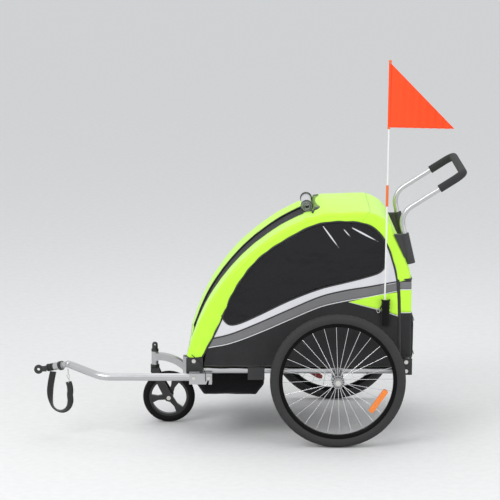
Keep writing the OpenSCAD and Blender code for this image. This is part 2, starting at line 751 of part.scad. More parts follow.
// Plate with the hole that the bicycle's rear axle goes through.
module hitch_eye() {
    boss = coupler_len + rubber_len;
    color("#1a1a1a") at_axle() difference() {
        union() {
            rod(ball_c + boss * coupler_dir, ball_c + (boss + 22) * coupler_dir, 9);
            translate(eye_c + [0, eye_t / 2, 0]) rotate([90, 0, 0]) cylinder(r = 17, h = eye_t);
            translate(eye_c + [0, -eye_t / 2, -8]) cube([30, eye_t, 20]);
        }
        translate(eye_c + [0, 20, 0]) rotate([90, 0, 0]) cylinder(r = hitch_hole_r, h = 40);
    }
}

// Loop of webbing that hangs under the coupler, and goes around the bicycle's frame.
module safety_strap() {
    left_leg = bezier([-26, -23], [-36, -70], [-46, -110], [-30, -155], 8);
    right_leg = bezier([-30, -155], [-10, -192], [48, -180], [36, -112], 8);
    top_leg = bezier([36, -112], [39, -95], [37, -78], [31, -62], 5);
    route = concat(left_leg, [for (i = [1:8]) right_leg[i]], [for (i = [1:5]) top_leg[i]]);
    heading = function(i) unit(route[min(i + 1, len(route) - 1)] - route[max(i - 1, 0)]);
    side = function(i, d) route[i] + d / 2 * [-heading(i)[1], heading(i)[0]];
    last = len(route) - 1;
    color("black") at_axle() translate(strap_c + [0, strap_w / 2, 0]) upright() linear_extrude(strap_w)
        polygon(concat([for (i = [0:last]) side(i, strap_t)], [for (i = [last:-1:0]) side(i, -strap_t)]));
}

// ---------- push handle ----------
sleeve_up = [-sin(sleeve_lean), 0, cos(sleeve_lean)];
slope_up = [cos(handle_rise), 0, sin(handle_rise)];
handle_foot = [sleeve_foot[0], -handle_w / 2, sleeve_foot[1]] + 6 * sleeve_up;
knee = handle_foot + (handle_knee - 6) * sleeve_up;
corner = knee + (handle_end_x - knee[0]) / cos(handle_rise) * slope_up;
grip_start = corner - 105 * slope_up;
function far_side(p) = [p[0], -p[1], p[2]];

module handle_tube() {
    color("silver") at_axle() tube_along(
        rounded([handle_foot, knee, corner, far_side(corner), far_side(knee), far_side(handle_foot)],
                [0, handle_knee_r, handle_corner_r, handle_corner_r, handle_knee_r, 0]),
        handle_d / 2, [0, 1, 0], tube_wall);
}

module handle_grip() {
    inner_r = handle_d / 2 + gap / 6;
    color("#262626") at_axle() tube_along(
        rounded([grip_start, corner, far_side(corner), far_side(grip_start)], [0, handle_corner_r, handle_corner_r, 0]),
        grip_r, [0, 1, 0], grip_r - inner_r);
}

left_side_rail();
right_side_rail();
floor_crossbars();
axle_beam();
corner_brackets();
frame_bolts();
left_hoop();
right_hoop();
roof_crossbar();
rear_top_crossbar();
handle_sleeves();
tow_bracket();
tow_pivot_bolt();
pin_tether();
caster_bracket();
caster_arm();
floor_panel();
footwell();
footwell_straps();
seat_base();
seat_back();
harness();
canopy_cover();
front_mesh();
left_side_panel();
right_side_panel();
left_window();
right_window();
rear_panel();
rear_bag();
rain_cover_roll();
flag_pocket();
wheel_axles();
left_tyre();
left_rim();
left_spokes();
left_hub();
left_reflector();
right_tyre();
right_rim();
right_spokes();
right_hub();
right_reflector();
caster_fork();
caster_kingpin();
caster_axle();
caster_rim();
caster_tyre();
tow_tube();
safety_strap();
hitch_coupler();
hitch_rubber();
hitch_eye();
tow_lock_pin();
handle_tube();
handle_grip();
flag_pole();
flag_fittings();
flag();
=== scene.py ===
# Child bicycle trailer: fabric, webbing, materials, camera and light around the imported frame.
# Everything is in metres. x along the trailer is measured from the main axle, and z from the ground.
import math
import random

import bmesh
import bpy
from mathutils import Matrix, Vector, noise


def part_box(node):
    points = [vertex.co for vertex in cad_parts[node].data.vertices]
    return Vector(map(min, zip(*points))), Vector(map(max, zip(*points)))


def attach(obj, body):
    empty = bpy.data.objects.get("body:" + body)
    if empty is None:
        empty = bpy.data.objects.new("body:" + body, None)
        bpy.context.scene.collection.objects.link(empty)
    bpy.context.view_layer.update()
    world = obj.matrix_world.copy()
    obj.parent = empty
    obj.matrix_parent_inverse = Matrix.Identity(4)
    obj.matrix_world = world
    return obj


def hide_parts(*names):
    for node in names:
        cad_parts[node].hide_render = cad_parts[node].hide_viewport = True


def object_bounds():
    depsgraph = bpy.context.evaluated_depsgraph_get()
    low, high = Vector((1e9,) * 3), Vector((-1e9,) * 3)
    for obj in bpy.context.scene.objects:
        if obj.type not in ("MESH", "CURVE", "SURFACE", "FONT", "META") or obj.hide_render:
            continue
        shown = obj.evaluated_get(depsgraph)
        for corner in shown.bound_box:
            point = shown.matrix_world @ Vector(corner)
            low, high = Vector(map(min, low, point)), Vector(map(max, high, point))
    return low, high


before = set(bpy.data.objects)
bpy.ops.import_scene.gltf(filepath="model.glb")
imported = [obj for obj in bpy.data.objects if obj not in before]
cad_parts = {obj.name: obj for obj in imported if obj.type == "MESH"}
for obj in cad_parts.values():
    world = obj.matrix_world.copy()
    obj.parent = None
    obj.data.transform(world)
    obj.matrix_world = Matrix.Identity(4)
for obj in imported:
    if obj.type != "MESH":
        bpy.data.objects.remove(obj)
cad_low, cad_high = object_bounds()
random.seed(7)

# ---------------------------------------------------------------- places, from the frame


def box_middle(node):
    low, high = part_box(node)
    return (low + high) / 2


AXLE = box_middle("left_tyre")
AXLE_X = AXLE.x
RAIL = box_middle("left_side_rail")
SIDE_LOW, SIDE_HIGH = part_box("left_side_panel")
CLOTH = 0.003
LEAN = (SIDE_HIGH.y - SIDE_LOW.y - CLOTH) / (SIDE_HIGH.z - SIDE_LOW.z)
ROOF_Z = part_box("canopy_cover")[1].z
BACK_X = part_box("rear_panel")[1].x - AXLE_X
CANOPY_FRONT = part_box("canopy_cover")[0]
MESH_HALF = 0.1                               # half width of the mesh strip in the front cover
MESH_TOP_X = -0.092
MESH_FOOT_Z = CANOPY_FRONT.z + 0.034
CORNER_R = 0.016                              # rounding where the roof turns into the sides


def at(x, y, z):
    return Vector((AXLE_X + x, y, z))


def side_y(z):
    """Distance from the middle plane to the outer face of a side panel at height z."""
    return -SIDE_LOW.y - (z - SIDE_LOW.z) * LEAN


# ---------------------------------------------------------------- camera

VIEW_PITCH, VIEW_YAW = math.radians(9.66), math.radians(0.6)
camera = bpy.data.objects.new("camera", bpy.data.cameras.new("camera"))
bpy.context.collection.objects.link(camera)
camera.data.lens, camera.data.sensor_width = 166.6, 36
camera.location = at(-0.236, -8.692, 2.151)
aim = Vector((-math.sin(VIEW_YAW) * math.cos(VIEW_PITCH), math.cos(VIEW_YAW) * math.cos(VIEW_PITCH),
              -math.sin(VIEW_PITCH)))
camera.rotation_euler = aim.to_track_quat("-Z", "Y").to_euler()
camera.data.clip_end = 100
bpy.context.scene.camera = camera
bpy.context.scene.view_settings.view_transform = "Standard"

# ---------------------------------------------------------------- material helpers


def new_material(name):
    material = bpy.data.materials.new(name)
    material.use_nodes = True
    nodes, links = material.node_tree.nodes, material.node_tree.links
    return material, nodes, links, nodes["Principled BSDF"]


def add(nodes, kind, **values):
    node = nodes.new(kind)
    for key, value in values.items():
        if key in node.inputs:
            node.inputs[key].default_value = value
        else:
            setattr(node, key, value)
    return node


def mix_colours(nodes, links, factor, low, high):
    mix = add(nodes, "ShaderNodeMix", data_type="RGBA")
    mix.inputs[6].default_value, mix.inputs[7].default_value = (*low, 1), (*high, 1)
    links.new(factor, mix.inputs[0])
    return mix.outputs[2]


def shade(colour, by):
    return tuple(min(1, c * by) for c in colour)


def cloth_material(name, colour, weave=1500, bump=0.35, rough=0.85, sheen=0.25, mottle=0.12, coat=0.0):
    """Woven fabric: two crossed thread waves for the weave, wide creases, and slow changes of colour."""
    material, nodes, links, surface = new_material(name)
    place = nodes.new("ShaderNodeTexCoord").outputs["Object"]
    heights = []
    for direction, scale in (("DIAGONAL", weave), ("X", weave * 0.9), ("Z", weave * 0.9)):
        wave = add(nodes, "ShaderNodeTexWave", bands_direction=direction, Scale=scale / 6.28)
        links.new(place, wave.inputs["Vector"])
        heights.append(wave.outputs["Fac"])
    join = add(nodes, "ShaderNodeMath", operation="MULTIPLY")
    links.new(heights[1], join.inputs[0])
    links.new(heights[2], join.inputs[1])
    creases = add(nodes, "ShaderNodeTexNoise", Scale=9.0, Detail=5.0, Roughness=0.6, Distortion=0.6)
    links.new(place, creases.inputs["Vector"])
    fine = add(nodes, "ShaderNodeBump", Strength=bump, Distance=0.0004)
    links.new(join.outputs[0], fine.inputs["Height"])
    wide = add(nodes, "ShaderNodeBump", Strength=0.45, Distance=0.010)
    links.new(creases.outputs["Fac"], wide.inputs["Height"])
    links.new(fine.outputs["Normal"], wide.inputs["Normal"])
    links.new(wide.outputs["Normal"], surface.inputs["Normal"])
    blotch = add(nodes, "ShaderNodeTexNoise", Scale=26.0, Detail=6.0, Roughness=0.7)
    links.new(place, blotch.inputs["Vector"])
    links.new(mix_colours(nodes, links, blotch.outputs["Fac"], shade(colour, 1 - mottle), shade(colour, 1 + mottle)),
              surface.inputs["Base Color"])
    surface.inputs["Roughness"].default_value = rough
    surface.inputs["Sheen Weight"].default_value = sheen
    surface.inputs["Sheen Roughness"].default_value = 0.5
    surface.inputs["Coat Weight"].default_value = coat
    surface.inputs["Specular IOR Level"].default_value = 0.18
    return material


def metal_material(name, colour, rough=0.32, brush=0.5, along="X"):
    """Drawn or brushed metal: fine streaks in the roughness and the bump, and faint stains."""
    material, nodes, links, surface = new_material(name)
    place = nodes.new("ShaderNodeTexCoord").outputs["Object"]
    stretch = add(nodes, "ShaderNodeMapping")
    stretch.inputs["Scale"].default_value = {"X": (12, 400, 400), "Y": (400, 12, 400), "Z": (400, 400, 12)}[along]
    links.new(place, stretch.inputs["Vector"])
    streaks = add(nodes, "ShaderNodeTexNoise", Scale=1.0, Detail=3.0)
    links.new(stretch.outputs[0], streaks.inputs["Vector"])
    stains = add(nodes, "ShaderNodeTexNoise", Scale=18.0, Detail=6.0)
    links.new(place, stains.inputs["Vector"])
    level = add(nodes, "ShaderNodeMapRange")
    level.inputs["To Min"].default_value, level.inputs["To Max"].default_value = rough * 0.8, rough * 1.3
    links.new(streaks.outputs["Fac"], level.inputs["Value"])
    links.new(level.outputs[0], surface.inputs["Roughness"])
    links.new(mix_colours(nodes, links, stains.outputs["Fac"], shade(colour, 0.92), shade(colour, 1.05)),
              surface.inputs["Base Color"])
    bump = add(nodes, "ShaderNodeBump", Strength=0.15 * brush, Distance=0.0003)
    links.new(streaks.outputs["Fac"], bump.inputs["Height"])
    links.new(bump.outputs["Normal"], surface.inputs["Normal"])
    surface.inputs["Metallic"].default_value = 1.0
    return material


def plastic_material(name, colour, rough=0.5, grain=700, bump=0.3, coat=0.0, dust=0.018, gloss=0.5):
    """Moulded plastic or rubber: fine grain, with lighter worn patches."""
    material, nodes, links, surface = new_material(name)
    place = nodes.new("ShaderNodeTexCoord").outputs["Object"]
    texture = add(nodes, "ShaderNodeTexNoise", Scale=float(grain), Detail=2.0)
    wear = add(nodes, "ShaderNodeTexNoise", Scale=30.0, Detail=7.0, Roughness=0.65)
    for node in (texture, wear):
        links.new(place, node.inputs["Vector"])
    worn = tuple(c + dust for c in colour)
    links.new(mix_colours(nodes, links, wear.outputs["Fac"], shade(colour, 0.85), worn), surface.inputs["Base Color"])
    level = add(nodes, "ShaderNodeMapRange")
    level.inputs["To Min"].default_value, level.inputs["To Max"].default_value = rough * 0.85, min(1, rough * 1.2)
    links.new(wear.outputs["Fac"], level.inputs["Value"])
    links.new(level.outputs[0], surface.inputs["Roughness"])
    relief = add(nodes, "ShaderNodeBump", Strength=bump, Distance=0.0003)
    links.new(texture.outputs["Fac"], relief.inputs["Height"])
    links.new(relief.outputs["Normal"], surface.inputs["Normal"])
    surface.inputs["Coat Weight"].default_value = coat
    surface.inputs["Specular IOR Level"].default_value = gloss
    return material


def webbing_material(name, colour):
    """Ribbed webbing: close ribs across the band."""
    material, nodes, links, surface = new_material(name)
    place = nodes.new("ShaderNodeTexCoord").outputs["Object"]
    ribs = add(nodes, "ShaderNodeTexWave", bands_direction="Z", Scale=260.0, Distortion=0.4)
    cross = add(nodes, "ShaderNodeTexWave", bands_direction="Y", Scale=200.0)
    for wave in (ribs, cross):
        links.new(place, wave.inputs["Vector"])
    both = add(nodes, "ShaderNodeMath", operation="MULTIPLY")
    links.new(ribs.outputs["Fac"], both.inputs[0])
    links.new(cross.outputs["Fac"], both.inputs[1])
    relief = add(nodes, "ShaderNodeBump", Strength=0.6, Distance=0.0006)
    links.new(both.outputs[0], relief.inputs["Height"])
    links.new(relief.outputs["Normal"], surface.inputs["Normal"])
    links.new(mix_colours(nodes, links, both.outputs[0], shade(colour, 0.7), shade(colour, 1.6)), surface.inputs["Base Color"])
    surface.inputs["Roughness"].default_value = 0.8
    surface.inputs["Sheen Weight"].default_value = 0.3
    return material


def clear_material(name, tint, opacity, rough=0.08, ripple=0.4):
    """Thin clear vinyl: mostly see-through, with a wavy shine."""
    material, nodes, links, surface = new_material(name)
    place = nodes.new("ShaderNodeTexCoord").outputs["Object"]
    waves = add(nodes, "ShaderNodeTexNoise", Scale=7.0, Detail=2.0, Distortion=1.2)
    links.new(place, waves.inputs["Vector"])
    relief = add(nodes, "ShaderNodeBump", Strength=ripple, Distance=0.01)
    links.new(waves.outputs["Fac"], relief.inputs["Height"])
    links.new(relief.outputs["Normal"], surface.inputs["Normal"])
    scratches = add(nodes, "ShaderNodeTexNoise", Scale=160.0, Detail=4.0)
    links.new(place, scratches.inputs["Vector"])
    level = add(nodes, "ShaderNodeMapRange")
    level.inputs["To Min"].default_value, level.inputs["To Max"].default_value = rough * 0.6, rough * 1.8
    links.new(scratches.outputs["Fac"], level.inputs["Value"])
    links.new(level.outputs[0], surface.inputs["Roughness"])
    surface.inputs["Base Color"].default_value = (*tint, 1)
    surface.inputs["Alpha"].default_value = opacity
    surface.inputs["Specular IOR Level"].default_value = 0.3
    return material


def mesh_material(name, colour, holes=2200, cover=0.82):
    """Insect mesh: a fine grid with open holes between the threads."""
    material, nodes, links, surface = new_material(name)
    place = nodes.new("ShaderNodeTexCoord").outputs["Object"]
    threads = []
    for direction in ("Y", "Z"):
        wave = add(nodes, "ShaderNodeTexWave", bands_direction=direction, Scale=holes / 6.28)
        links.new(place, wave.inputs["Vector"])
        threads.append(wave.outputs["Fac"])
    most = add(nodes, "ShaderNodeMath", operation="MAXIMUM")
    links.new(threads[0], most.inputs[0])
    links.new(threads[1], most.inputs[1])
    solid = add(nodes, "ShaderNodeMapRange")
    solid.inputs["From Min"].default_value, solid.inputs["From Max"].default_value = 0.3, 0.6
    solid.inputs["To Min"].default_value = cover
    links.new(most.outputs[0], solid.inputs["Value"])
    links.new(solid.outputs[0], surface.inputs["Alpha"])
    surface.inputs["Base Color"].default_value = (*colour, 1)
    surface.inputs["Roughness"].default_value = 0.8
    return material


def reflector_material(name, colour):
    """Amber plastic over small prisms, with a faint painted glow."""
    material, nodes, links, surface = new_material(name)
    place = nodes.new("ShaderNodeTexCoord").outputs["Object"]
    cells = add(nodes, "ShaderNodeTexVoronoi", Scale=330.0)
    links.new(place, cells.inputs["Vector"])
    relief = add(nodes, "ShaderNodeBump", Strength=0.8, Distance=0.001)
    links.new(cells.outputs["Distance"], relief.inputs["Height"])
    links.new(relief.outputs["Normal"], surface.inputs["Normal"])
    links.new(mix_colours(nodes, links, cells.outputs["Distance"], shade(colour, 1.1), shade(colour, 0.75)),
              surface.inputs["Base Color"])
    surface.inputs["Roughness"].default_value = 0.15
    surface.inputs["Coat Weight"].default_value = 1.0
    # The faint emission in the plastic's own colour is a painted glow, standing in for light sent back by the prisms.
    surface.inputs["Emission Color"].default_value = (*colour, 1)
    surface.inputs["Emission Strength"].default_value = 0.05
    return material


LIME = (0.52, 0.93, 0.055)
CHARCOAL = (0.026, 0.026, 0.027)
M = {
    "lime": cloth_material("lime_fabric", LIME, coat=0.15, mottle=0.05),
    # lime cloth darkened as painted shade, for the top hem in the shadow behind the roll; the ridge and edge stitches
    # use it too
    "lime_dark": cloth_material("lime_fabric_painted_shade", (0.13, 0.27, 0.005), mottle=0.08),
    "charcoal": cloth_material("charcoal_fabric", CHARCOAL, mottle=0.25, sheen=0.12),
    "black": cloth_material("black_fabric", (0.005, 0.005, 0.006), mottle=0.2, sheen=0.08),
    "seat": cloth_material("seat_fabric", (0.010, 0.010, 0.012), weave=1100, bump=0.6),
    "grey": cloth_material("grey_stripe", (0.17, 0.17, 0.175), rough=0.6, mottle=0.06),
    "pale": cloth_material("pale_band", (0.66, 0.66, 0.69), rough=0.7, mottle=0.03),
    "piping": plastic_material("piping", (0.010, 0.010, 0.011), rough=0.45),
    "white_piping": plastic_material("white_piping", (0.7, 0.7, 0.72), rough=0.4, dust=0.02),
    "webbing": webbing_material("black_webbing", (0.013, 0.013, 0.014)),
    "mesh": mesh_material("front_mesh", (0.012, 0.012, 0.016)),
    "vinyl": clear_material("smoked_vinyl", (0.012, 0.012, 0.014), 0.80),
    "roll": clear_material("rolled_vinyl", (0.50, 0.51, 0.53), 0.95, rough=0.2),
    "tube": metal_material("satin_aluminium", (0.56, 0.56, 0.57), rough=0.30),
    "tube_y": metal_material("satin_aluminium_cross", (0.56, 0.56, 0.57), rough=0.30, along="Y"),
    "plate": metal_material("zinc_plate", (0.52, 0.52, 0.53), rough=0.36, brush=1.0, along="Z"),
    "bolt": metal_material("plated_bolt", (0.66, 0.65, 0.62), rough=0.18),
    "spoke": metal_material("polished_spoke", (0.80, 0.80, 0.82), rough=0.2),
    "hub": metal_material("hub_metal", (0.42, 0.42, 0.43), rough=0.3),
    # pale glossy strips on the window vinyl: the pale colour is a painted highlight
    "pale_painted_highlight": plastic_material("vinyl_ridge_painted_highlight", (0.75, 0.77, 0.80), rough=0.15, coat=1.0),
    "rim": plastic_material("black_rim", (0.003, 0.003, 0.003), rough=0.42, grain=90, bump=0.05, dust=0.002, gloss=0.08),
    "tyre": plastic_material("tyre_rubber", (0.016, 0.016, 0.017), rough=0.75, grain=900, bump=0.5, dust=0.02),
    "caster": plastic_material("caster_plastic", (0.011, 0.011, 0.012), rough=0.42),
    "moulding": plastic_material("black_moulding", (0.016, 0.016, 0.017), rough=0.5),
    "sleeve": plastic_material("sleeve_moulding", (0.024, 0.024, 0.026), rough=0.55),
    "rubber": plastic_material("ribbed_rubber", (0.012, 0.012, 0.013), rough=0.7),
    "foam": plastic_material("grip_foam", (0.018, 0.018, 0.020), rough=0.9, grain=1400, bump=1.0, dust=0.02),
    "pole": plastic_material("pole_white", (0.86, 0.86, 0.85), rough=0.35, grain=60, bump=0.05, dust=0.02),
    "flag": cloth_material("flag_orange", (1.0, 0.085, 0.018), weave=900, rough=0.5, mottle=0.10, sheen=0.1),
    "orange": plastic_material("fitting_orange", (0.85, 0.16, 0.02), rough=0.35, dust=0.02),
    "amber": reflector_material("amber_reflector", (0.90, 0.22, 0.005)),
    # the back of each reflector: amber darkened to dark red as painted shade
    "reflector_back": reflector_material("reflector_back_painted_shade", (0.30, 0.012, 0.008)),
    "caster_tyre": plastic_material("caster_tyre", (0.005, 0.005, 0.005), rough=0.6, dust=0.004, gloss=0.12),
    "floor": plastic_material("pale_floor", (0.80, 0.80, 0.80), rough=0.9, grain=40, bump=0.02, dust=0.01),
}

# ---------------------------------------------------------------- CAD nodes that stay: materials

FRAME_LOOKS = {
    "tube": ["left_side_rail", "right_side_rail", "left_hoop", "right_hoop", "tow_tube", "handle_tube"],
    "tube_y": ["floor_crossbars", "axle_beam", "roof_crossbar", "rear_top_crossbar"],
    "plate": ["tow_bracket", "caster_arm", "caster_bracket", "hitch_coupler"],
    "bolt": ["frame_bolts", "tow_pivot_bolt", "wheel_axles", "caster_axle", "tow_lock_pin"],
    "hub": ["left_hub", "right_hub"],
    "spoke": ["left_spokes", "right_spokes"],
    "rim": ["left_rim", "right_rim"],
    "caster": ["caster_fork", "caster_rim"],
    "moulding": ["corner_brackets", "caster_kingpin", "footwell_straps", "hitch_eye"],
    "sleeve": ["handle_sleeves"],
    "rubber": ["hitch_rubber", "pin_tether"],
    "foam": ["handle_grip"],
    "pole": ["flag_pole"],
    "orange": ["flag_fittings"],
    "caster_tyre": ["caster_tyre"],
}
for look, names in FRAME_LOOKS.items():
    for name in names:
        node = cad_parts[name]
        node.data.materials.clear()
        node.data.materials.append(M[look])


# ---------------------------------------------------------------- mesh helpers


def piece(name, mesh, body, look, replaced=(), thick=0.0, out=-1.0, subdivide=0, smooth=True):
    """Links a mesh as a piece of the trailer. thick turns a sheet into cloth, out is the side that it grows to."""
    thing = bpy.data.objects.new(name, mesh)
    bpy.context.collection.objects.link(thing)
    mesh.materials.append(M[look])
    if smooth:
        mesh.shade_smooth()
    if subdivide:
        level = thing.modifiers.new("smooth", "SUBSURF")
        level.levels = level.render_levels = subdivide
    if thick:
        layer = thing.modifiers.new("cloth", "SOLIDIFY")
        layer.thickness, layer.offset = thick, out
    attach(thing, body)
    if replaced:
        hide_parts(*replaced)
    return thing


def grid_mesh(name, rows, keep=lambda i, j: True, loop=False):
    """A mesh over rows of points, all of one length. keep says which cells are there, loop joins the last column to the first."""
    across = len(rows[0])
    mesh = bpy.data.meshes.new(name)
    cells = [(i, j) for i in range(len(rows) - 1) for j in range(across if loop else across - 1) if keep(i, j)]
    faces = [(i * across + j, i * across + (j + 1) % across, (i + 1) * across + (j + 1) % across, (i + 1) * across + j)
             for i, j in cells]
    mesh.from_pydata([tuple(p) for row in rows for p in row], [], faces)
    mesh.validate()
    mesh.update()
    return mesh


def lerp(a, b, t):
    return a + (b - a) * t


def resample(points, count):
    """count + 1 points at even steps along a polyline."""
    points = [Vector(p) for p in points]
    lengths = [0.0]
    for a, b in zip(points, points[1:]):
        lengths.append(lengths[-1] + (b - a).length)
    made, k = [], 0
    for i in range(count + 1):
        target = lengths[-1] * i / count
        while k < len(points) - 2 and lengths[k + 1] < target:
            k += 1
        span = lengths[k + 1] - lengths[k]
        made.append(lerp(points[k], points[k + 1], (target - lengths[k]) / span if span else 0))
    return made


def spline(points, count, fine=12):
    """A smooth curve through the points, as count + 1 even steps."""
    p = [Vector(q) for q in points]
    p = [p[0] * 2 - p[1], *p, p[-1] * 2 - p[-2]]
    dense = []
    for a, b, c, d in zip(p, p[1:], p[2:], p[3:]):
        for k in range(fine):
            t = k / fine
            dense.append(0.5 * (2 * b + (c - a) * t + (2 * a - 5 * b + 4 * c - d) * t ** 2 + (3 * b - a - 3 * c + d) * t ** 3))
    return resample([*dense, p[-2]], count)


def arc(centre, radius, start, end, steps):
    angles = [math.radians(lerp(start, end, i / steps)) for i in range(steps + 1)]
    return [Vector((centre[0] + radius * math.cos(a), centre[1] + radius * math.sin(a))) for a in angles]


def cord_piece(name, points, radius, body, look, replaced=(), flat=1.0):
    """A round cord or piping along points in space."""
    data = bpy.data.curves.new(name, "CURVE")
    data.dimensions, data.bevel_depth, data.bevel_resolution, data.use_fill_caps = "3D", radius, 3, True
    line = data.splines.new("POLY")
    line.points.add(len(points) - 1)
    for point, place in zip(line.points, points):
        point.co = (*place, 1)
    thing = bpy.data.objects.new(name, data)
    bpy.context.collection.objects.link(thing)
    data.materials.append(M[look])
    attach(thing, body)
    if replaced:
        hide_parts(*replaced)
    return thing


def ribbon_mesh(name, path, width, across):
    """A flat band along path; across gives the direction of its width at each point."""
    rows = []
    for i, p in enumerate(path):
        w = Vector(across(i)).normalized() * width / 2
        rows.append([p - w, p - w * 0.5, p, p + w * 0.5, p + w])
    return grid_mesh(name, rows)


def stitches(name, points, body, look, length=0.004, gap=0.003, radius=0.0005):
    """A row of short thread stitches along points in space."""
    dense = resample(points, max(2, int(sum((b - a).length for a, b in zip(points, points[1:])) / (length + gap))))
    verts, faces = [], []
    for a, b in zip(dense, dense[1:]):
        along = (b - a).normalized()
        side = along.cross(Vector((0, 1, 0)) if abs(along.y) < 0.9 else Vector((0, 0, 1))).normalized() * radius
        up = along.cross(side).normalized() * radius
        tip = a + along * length
        first = len(verts)
        for centre in (a, tip):
            verts += [tuple(centre + side), tuple(centre + up), tuple(centre - side), tuple(centre - up)]
        faces += [(first + k, first + (k + 1) % 4, first + 4 + (k + 1) % 4, first + 4 + k) for k in range(4)]
    mesh = bpy.data.meshes.new(name)
    mesh.from_pydata(verts, [], faces)
    return piece(name, mesh, body, look, smooth=False)


FRAME = "trailer_frame"


def stretched(thing):
    """Returns the cloth piece as it is."""
    return thing

# ---------------------------------------------------------------- floor, world and light

floor_mesh = bpy.data.meshes.new("floor")
floor_mesh.from_pydata([(-40, -40, cad_low.z), (40, -40, cad_low.z), (40, 40, cad_low.z), (-40, 40, cad_low.z)], [], [(0, 1, 2, 3)])
floor = bpy.data.objects.new("floor", floor_mesh)
bpy.context.collection.objects.link(floor)
floor_mesh.materials.append(M["floor"])

world = bpy.data.worlds.new("studio")
bpy.context.scene.world = world
world.use_nodes = True
world.node_tree.nodes["Background"].inputs["Color"].default_value = (0.97, 0.985, 1.0, 1)
world.node_tree.nodes["Background"].inputs["Strength"].default_value = 0.85


def softbox(name, place, target, size, power):
    """A square area light at place that shines on target."""
    data = bpy.data.lights.new(name, "AREA")
    data.shape, data.size, data.energy = "SQUARE", size, power
    lamp = bpy.data.objects.new(name, data)
    bpy.context.collection.objects.link(lamp)
    lamp.location = place
    lamp.rotation_euler = (Vector(target) - Vector(place)).to_track_quat("-Z", "Y").to_euler()
    return lamp


softbox("key_light", (-2.4, -3.2, 3.6), (0, 0, 0.5), 2.2, 78)
softbox("fill_light", (3.0, -2.6, 2.0), (0, 0, 0.5), 2.4, 30)
softbox("top_light", (0.2, 0.8, 3.8), (0, 0, 0.5), 2.6, 26)

# ---------------------------------------------------------------- safety strap: the only free cord

STRAP = box_middle("safety_strap")
STRAP_LOW, STRAP_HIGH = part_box("safety_strap")
STRAP_W = STRAP_HIGH.y - STRAP_LOW.y


def bezier(a, b, c, d, steps):
    a, b, c, d = map(Vector, (a, b, c, d))
    return [a * (1 - t) ** 3 + b * 3 * t * (1 - t) ** 2 + c * 3 * t * t * (1 - t) + d * t ** 3
            for t in (i / steps for i in range(steps + 1))]


def strap_path():
    """The strap's middle line, from its webbing end round the loop to its clip, as in the CAD."""
    route = bezier((-0.026, -0.023), (-0.036, -0.070), (-0.046, -0.110), (-0.030, -0.155), 8)
    route += bezier((-0.030, -0.155), (-0.010, -0.192), (0.048, -0.180), (0.036, -0.112), 8)[1:]
    route += bezier((0.036, -0.112), (0.039, -0.095), (0.037, -0.078), (0.031, -0.062), 5)[1:]
    low_x, top_z = min(p.x for p in route), max(p.y for p in route)
    shift_x = STRAP_LOW.x + 0.0015 - low_x
    return [Vector((p.x + shift_x, STRAP.y, p.y - top_z + STRAP_HIGH.z - 0.0002)) for p in route]


strap_line = strap_path()
strap_fine = spline(strap_line, 60)


def strap_across(i):
    """The strap faces the side on both legs, and twists flat at the foot of its loop."""
    along = (strap_fine[min(i + 1, 60)] - strap_fine[max(i - 1, 0)]).normalized()
    t = abs(i / 60 - 0.50) / 0.30
    turn = math.radians(68) * (t * t * (3 - 2 * t) if t < 1 else 1)
    return Vector((0, 1, 0)) * math.cos(turn) + along.cross(Vector((0, 1, 0))) * math.sin(turn)


strap = piece("safety_strap_webbing", ribbon_mesh("safety_strap_webbing", strap_fine, STRAP_W, strap_across),
              "strap", "webbing", ["safety_strap"], thick=0.0024, out=0)

# Webbing lashed round the coupler, and the snap hook at the strap's other end.
COUPLER_LOW, COUPLER_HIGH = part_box("hitch_coupler")
COUPLER_DIR = Vector((-0.879, 0.410, -0.242)).normalized()
coupler_middle = Vector((strap_line[0].x + 0.026, STRAP.y, strap_line[0].z + 0.023))
ring_side = COUPLER_DIR.cross(Vector((0, 0, 1))).normalized()
ring_up = ring_side.cross(COUPLER_DIR)
for number, shift in ((1, -0.004),):
    ring = [coupler_middle + COUPLER_DIR * shift + (ring_side * math.cos(a) + ring_up * math.sin(a)) * (0.0172 + 0.001 * math.sin(3 * a))
            for a in (math.tau * i / 48 for i in range(49))]
    piece(f"coupler_lashing_{number}", ribbon_mesh(f"coupler_lashing_{number}", ring, 0.012, lambda i: COUPLER_DIR), "tow_arm",
          "webbing", thick=0.002)
hook_foot = strap_line[-1]
cord_piece("strap_snap_hook", [hook_foot + Vector(p) for p in ((0, 0, -0.004), (0.003, 0, 0.006), (-0.003, 0, 0.016),
           (-0.006, 0, 0.024), (-0.001, 0, 0.029), (0.004, 0, 0.024), (0.002, 0, 0.012))], 0.0016, "strap", "bolt")
link_middle = hook_foot + Vector((-0.001, 0, 0.0385))
cord_piece("snap_hook_link", [link_middle + Vector((0, 0.006 * math.cos(a), 0.0125 * math.sin(a)))
           for a in (math.tau * i / 32 for i in range(33))], 0.0013, "tow_arm", "bolt")

# ---------------------------------------------------------------- cabin outline and the curves on its sides

ARCH_C, ARCH_R = (0.175, 0.135), 0.755
CROWN_R, BACK_NORMAL = 0.114, 24
CROWN_C, BACK_C = (0.098, ROOF_Z - CROWN_R), (-0.042, 0.564)
BACK_R = BACK_X - BACK_C[0]


def cabin_outline(front_z, rear_z):
    def front_angle(z):
        return 180 - math.degrees(math.asin((z - ARCH_C[1]) / ARCH_R))
    rear = math.degrees(math.asin((rear_z - BACK_C[1]) / BACK_R))
    return [*arc(ARCH_C, ARCH_R, front_angle(front_z), front_angle(ROOF_Z) + 4, 30),
            *arc(CROWN_C, CROWN_R, 88, BACK_NORMAL, 10), *arc(BACK_C, BACK_R, BACK_NORMAL, rear, 6)]


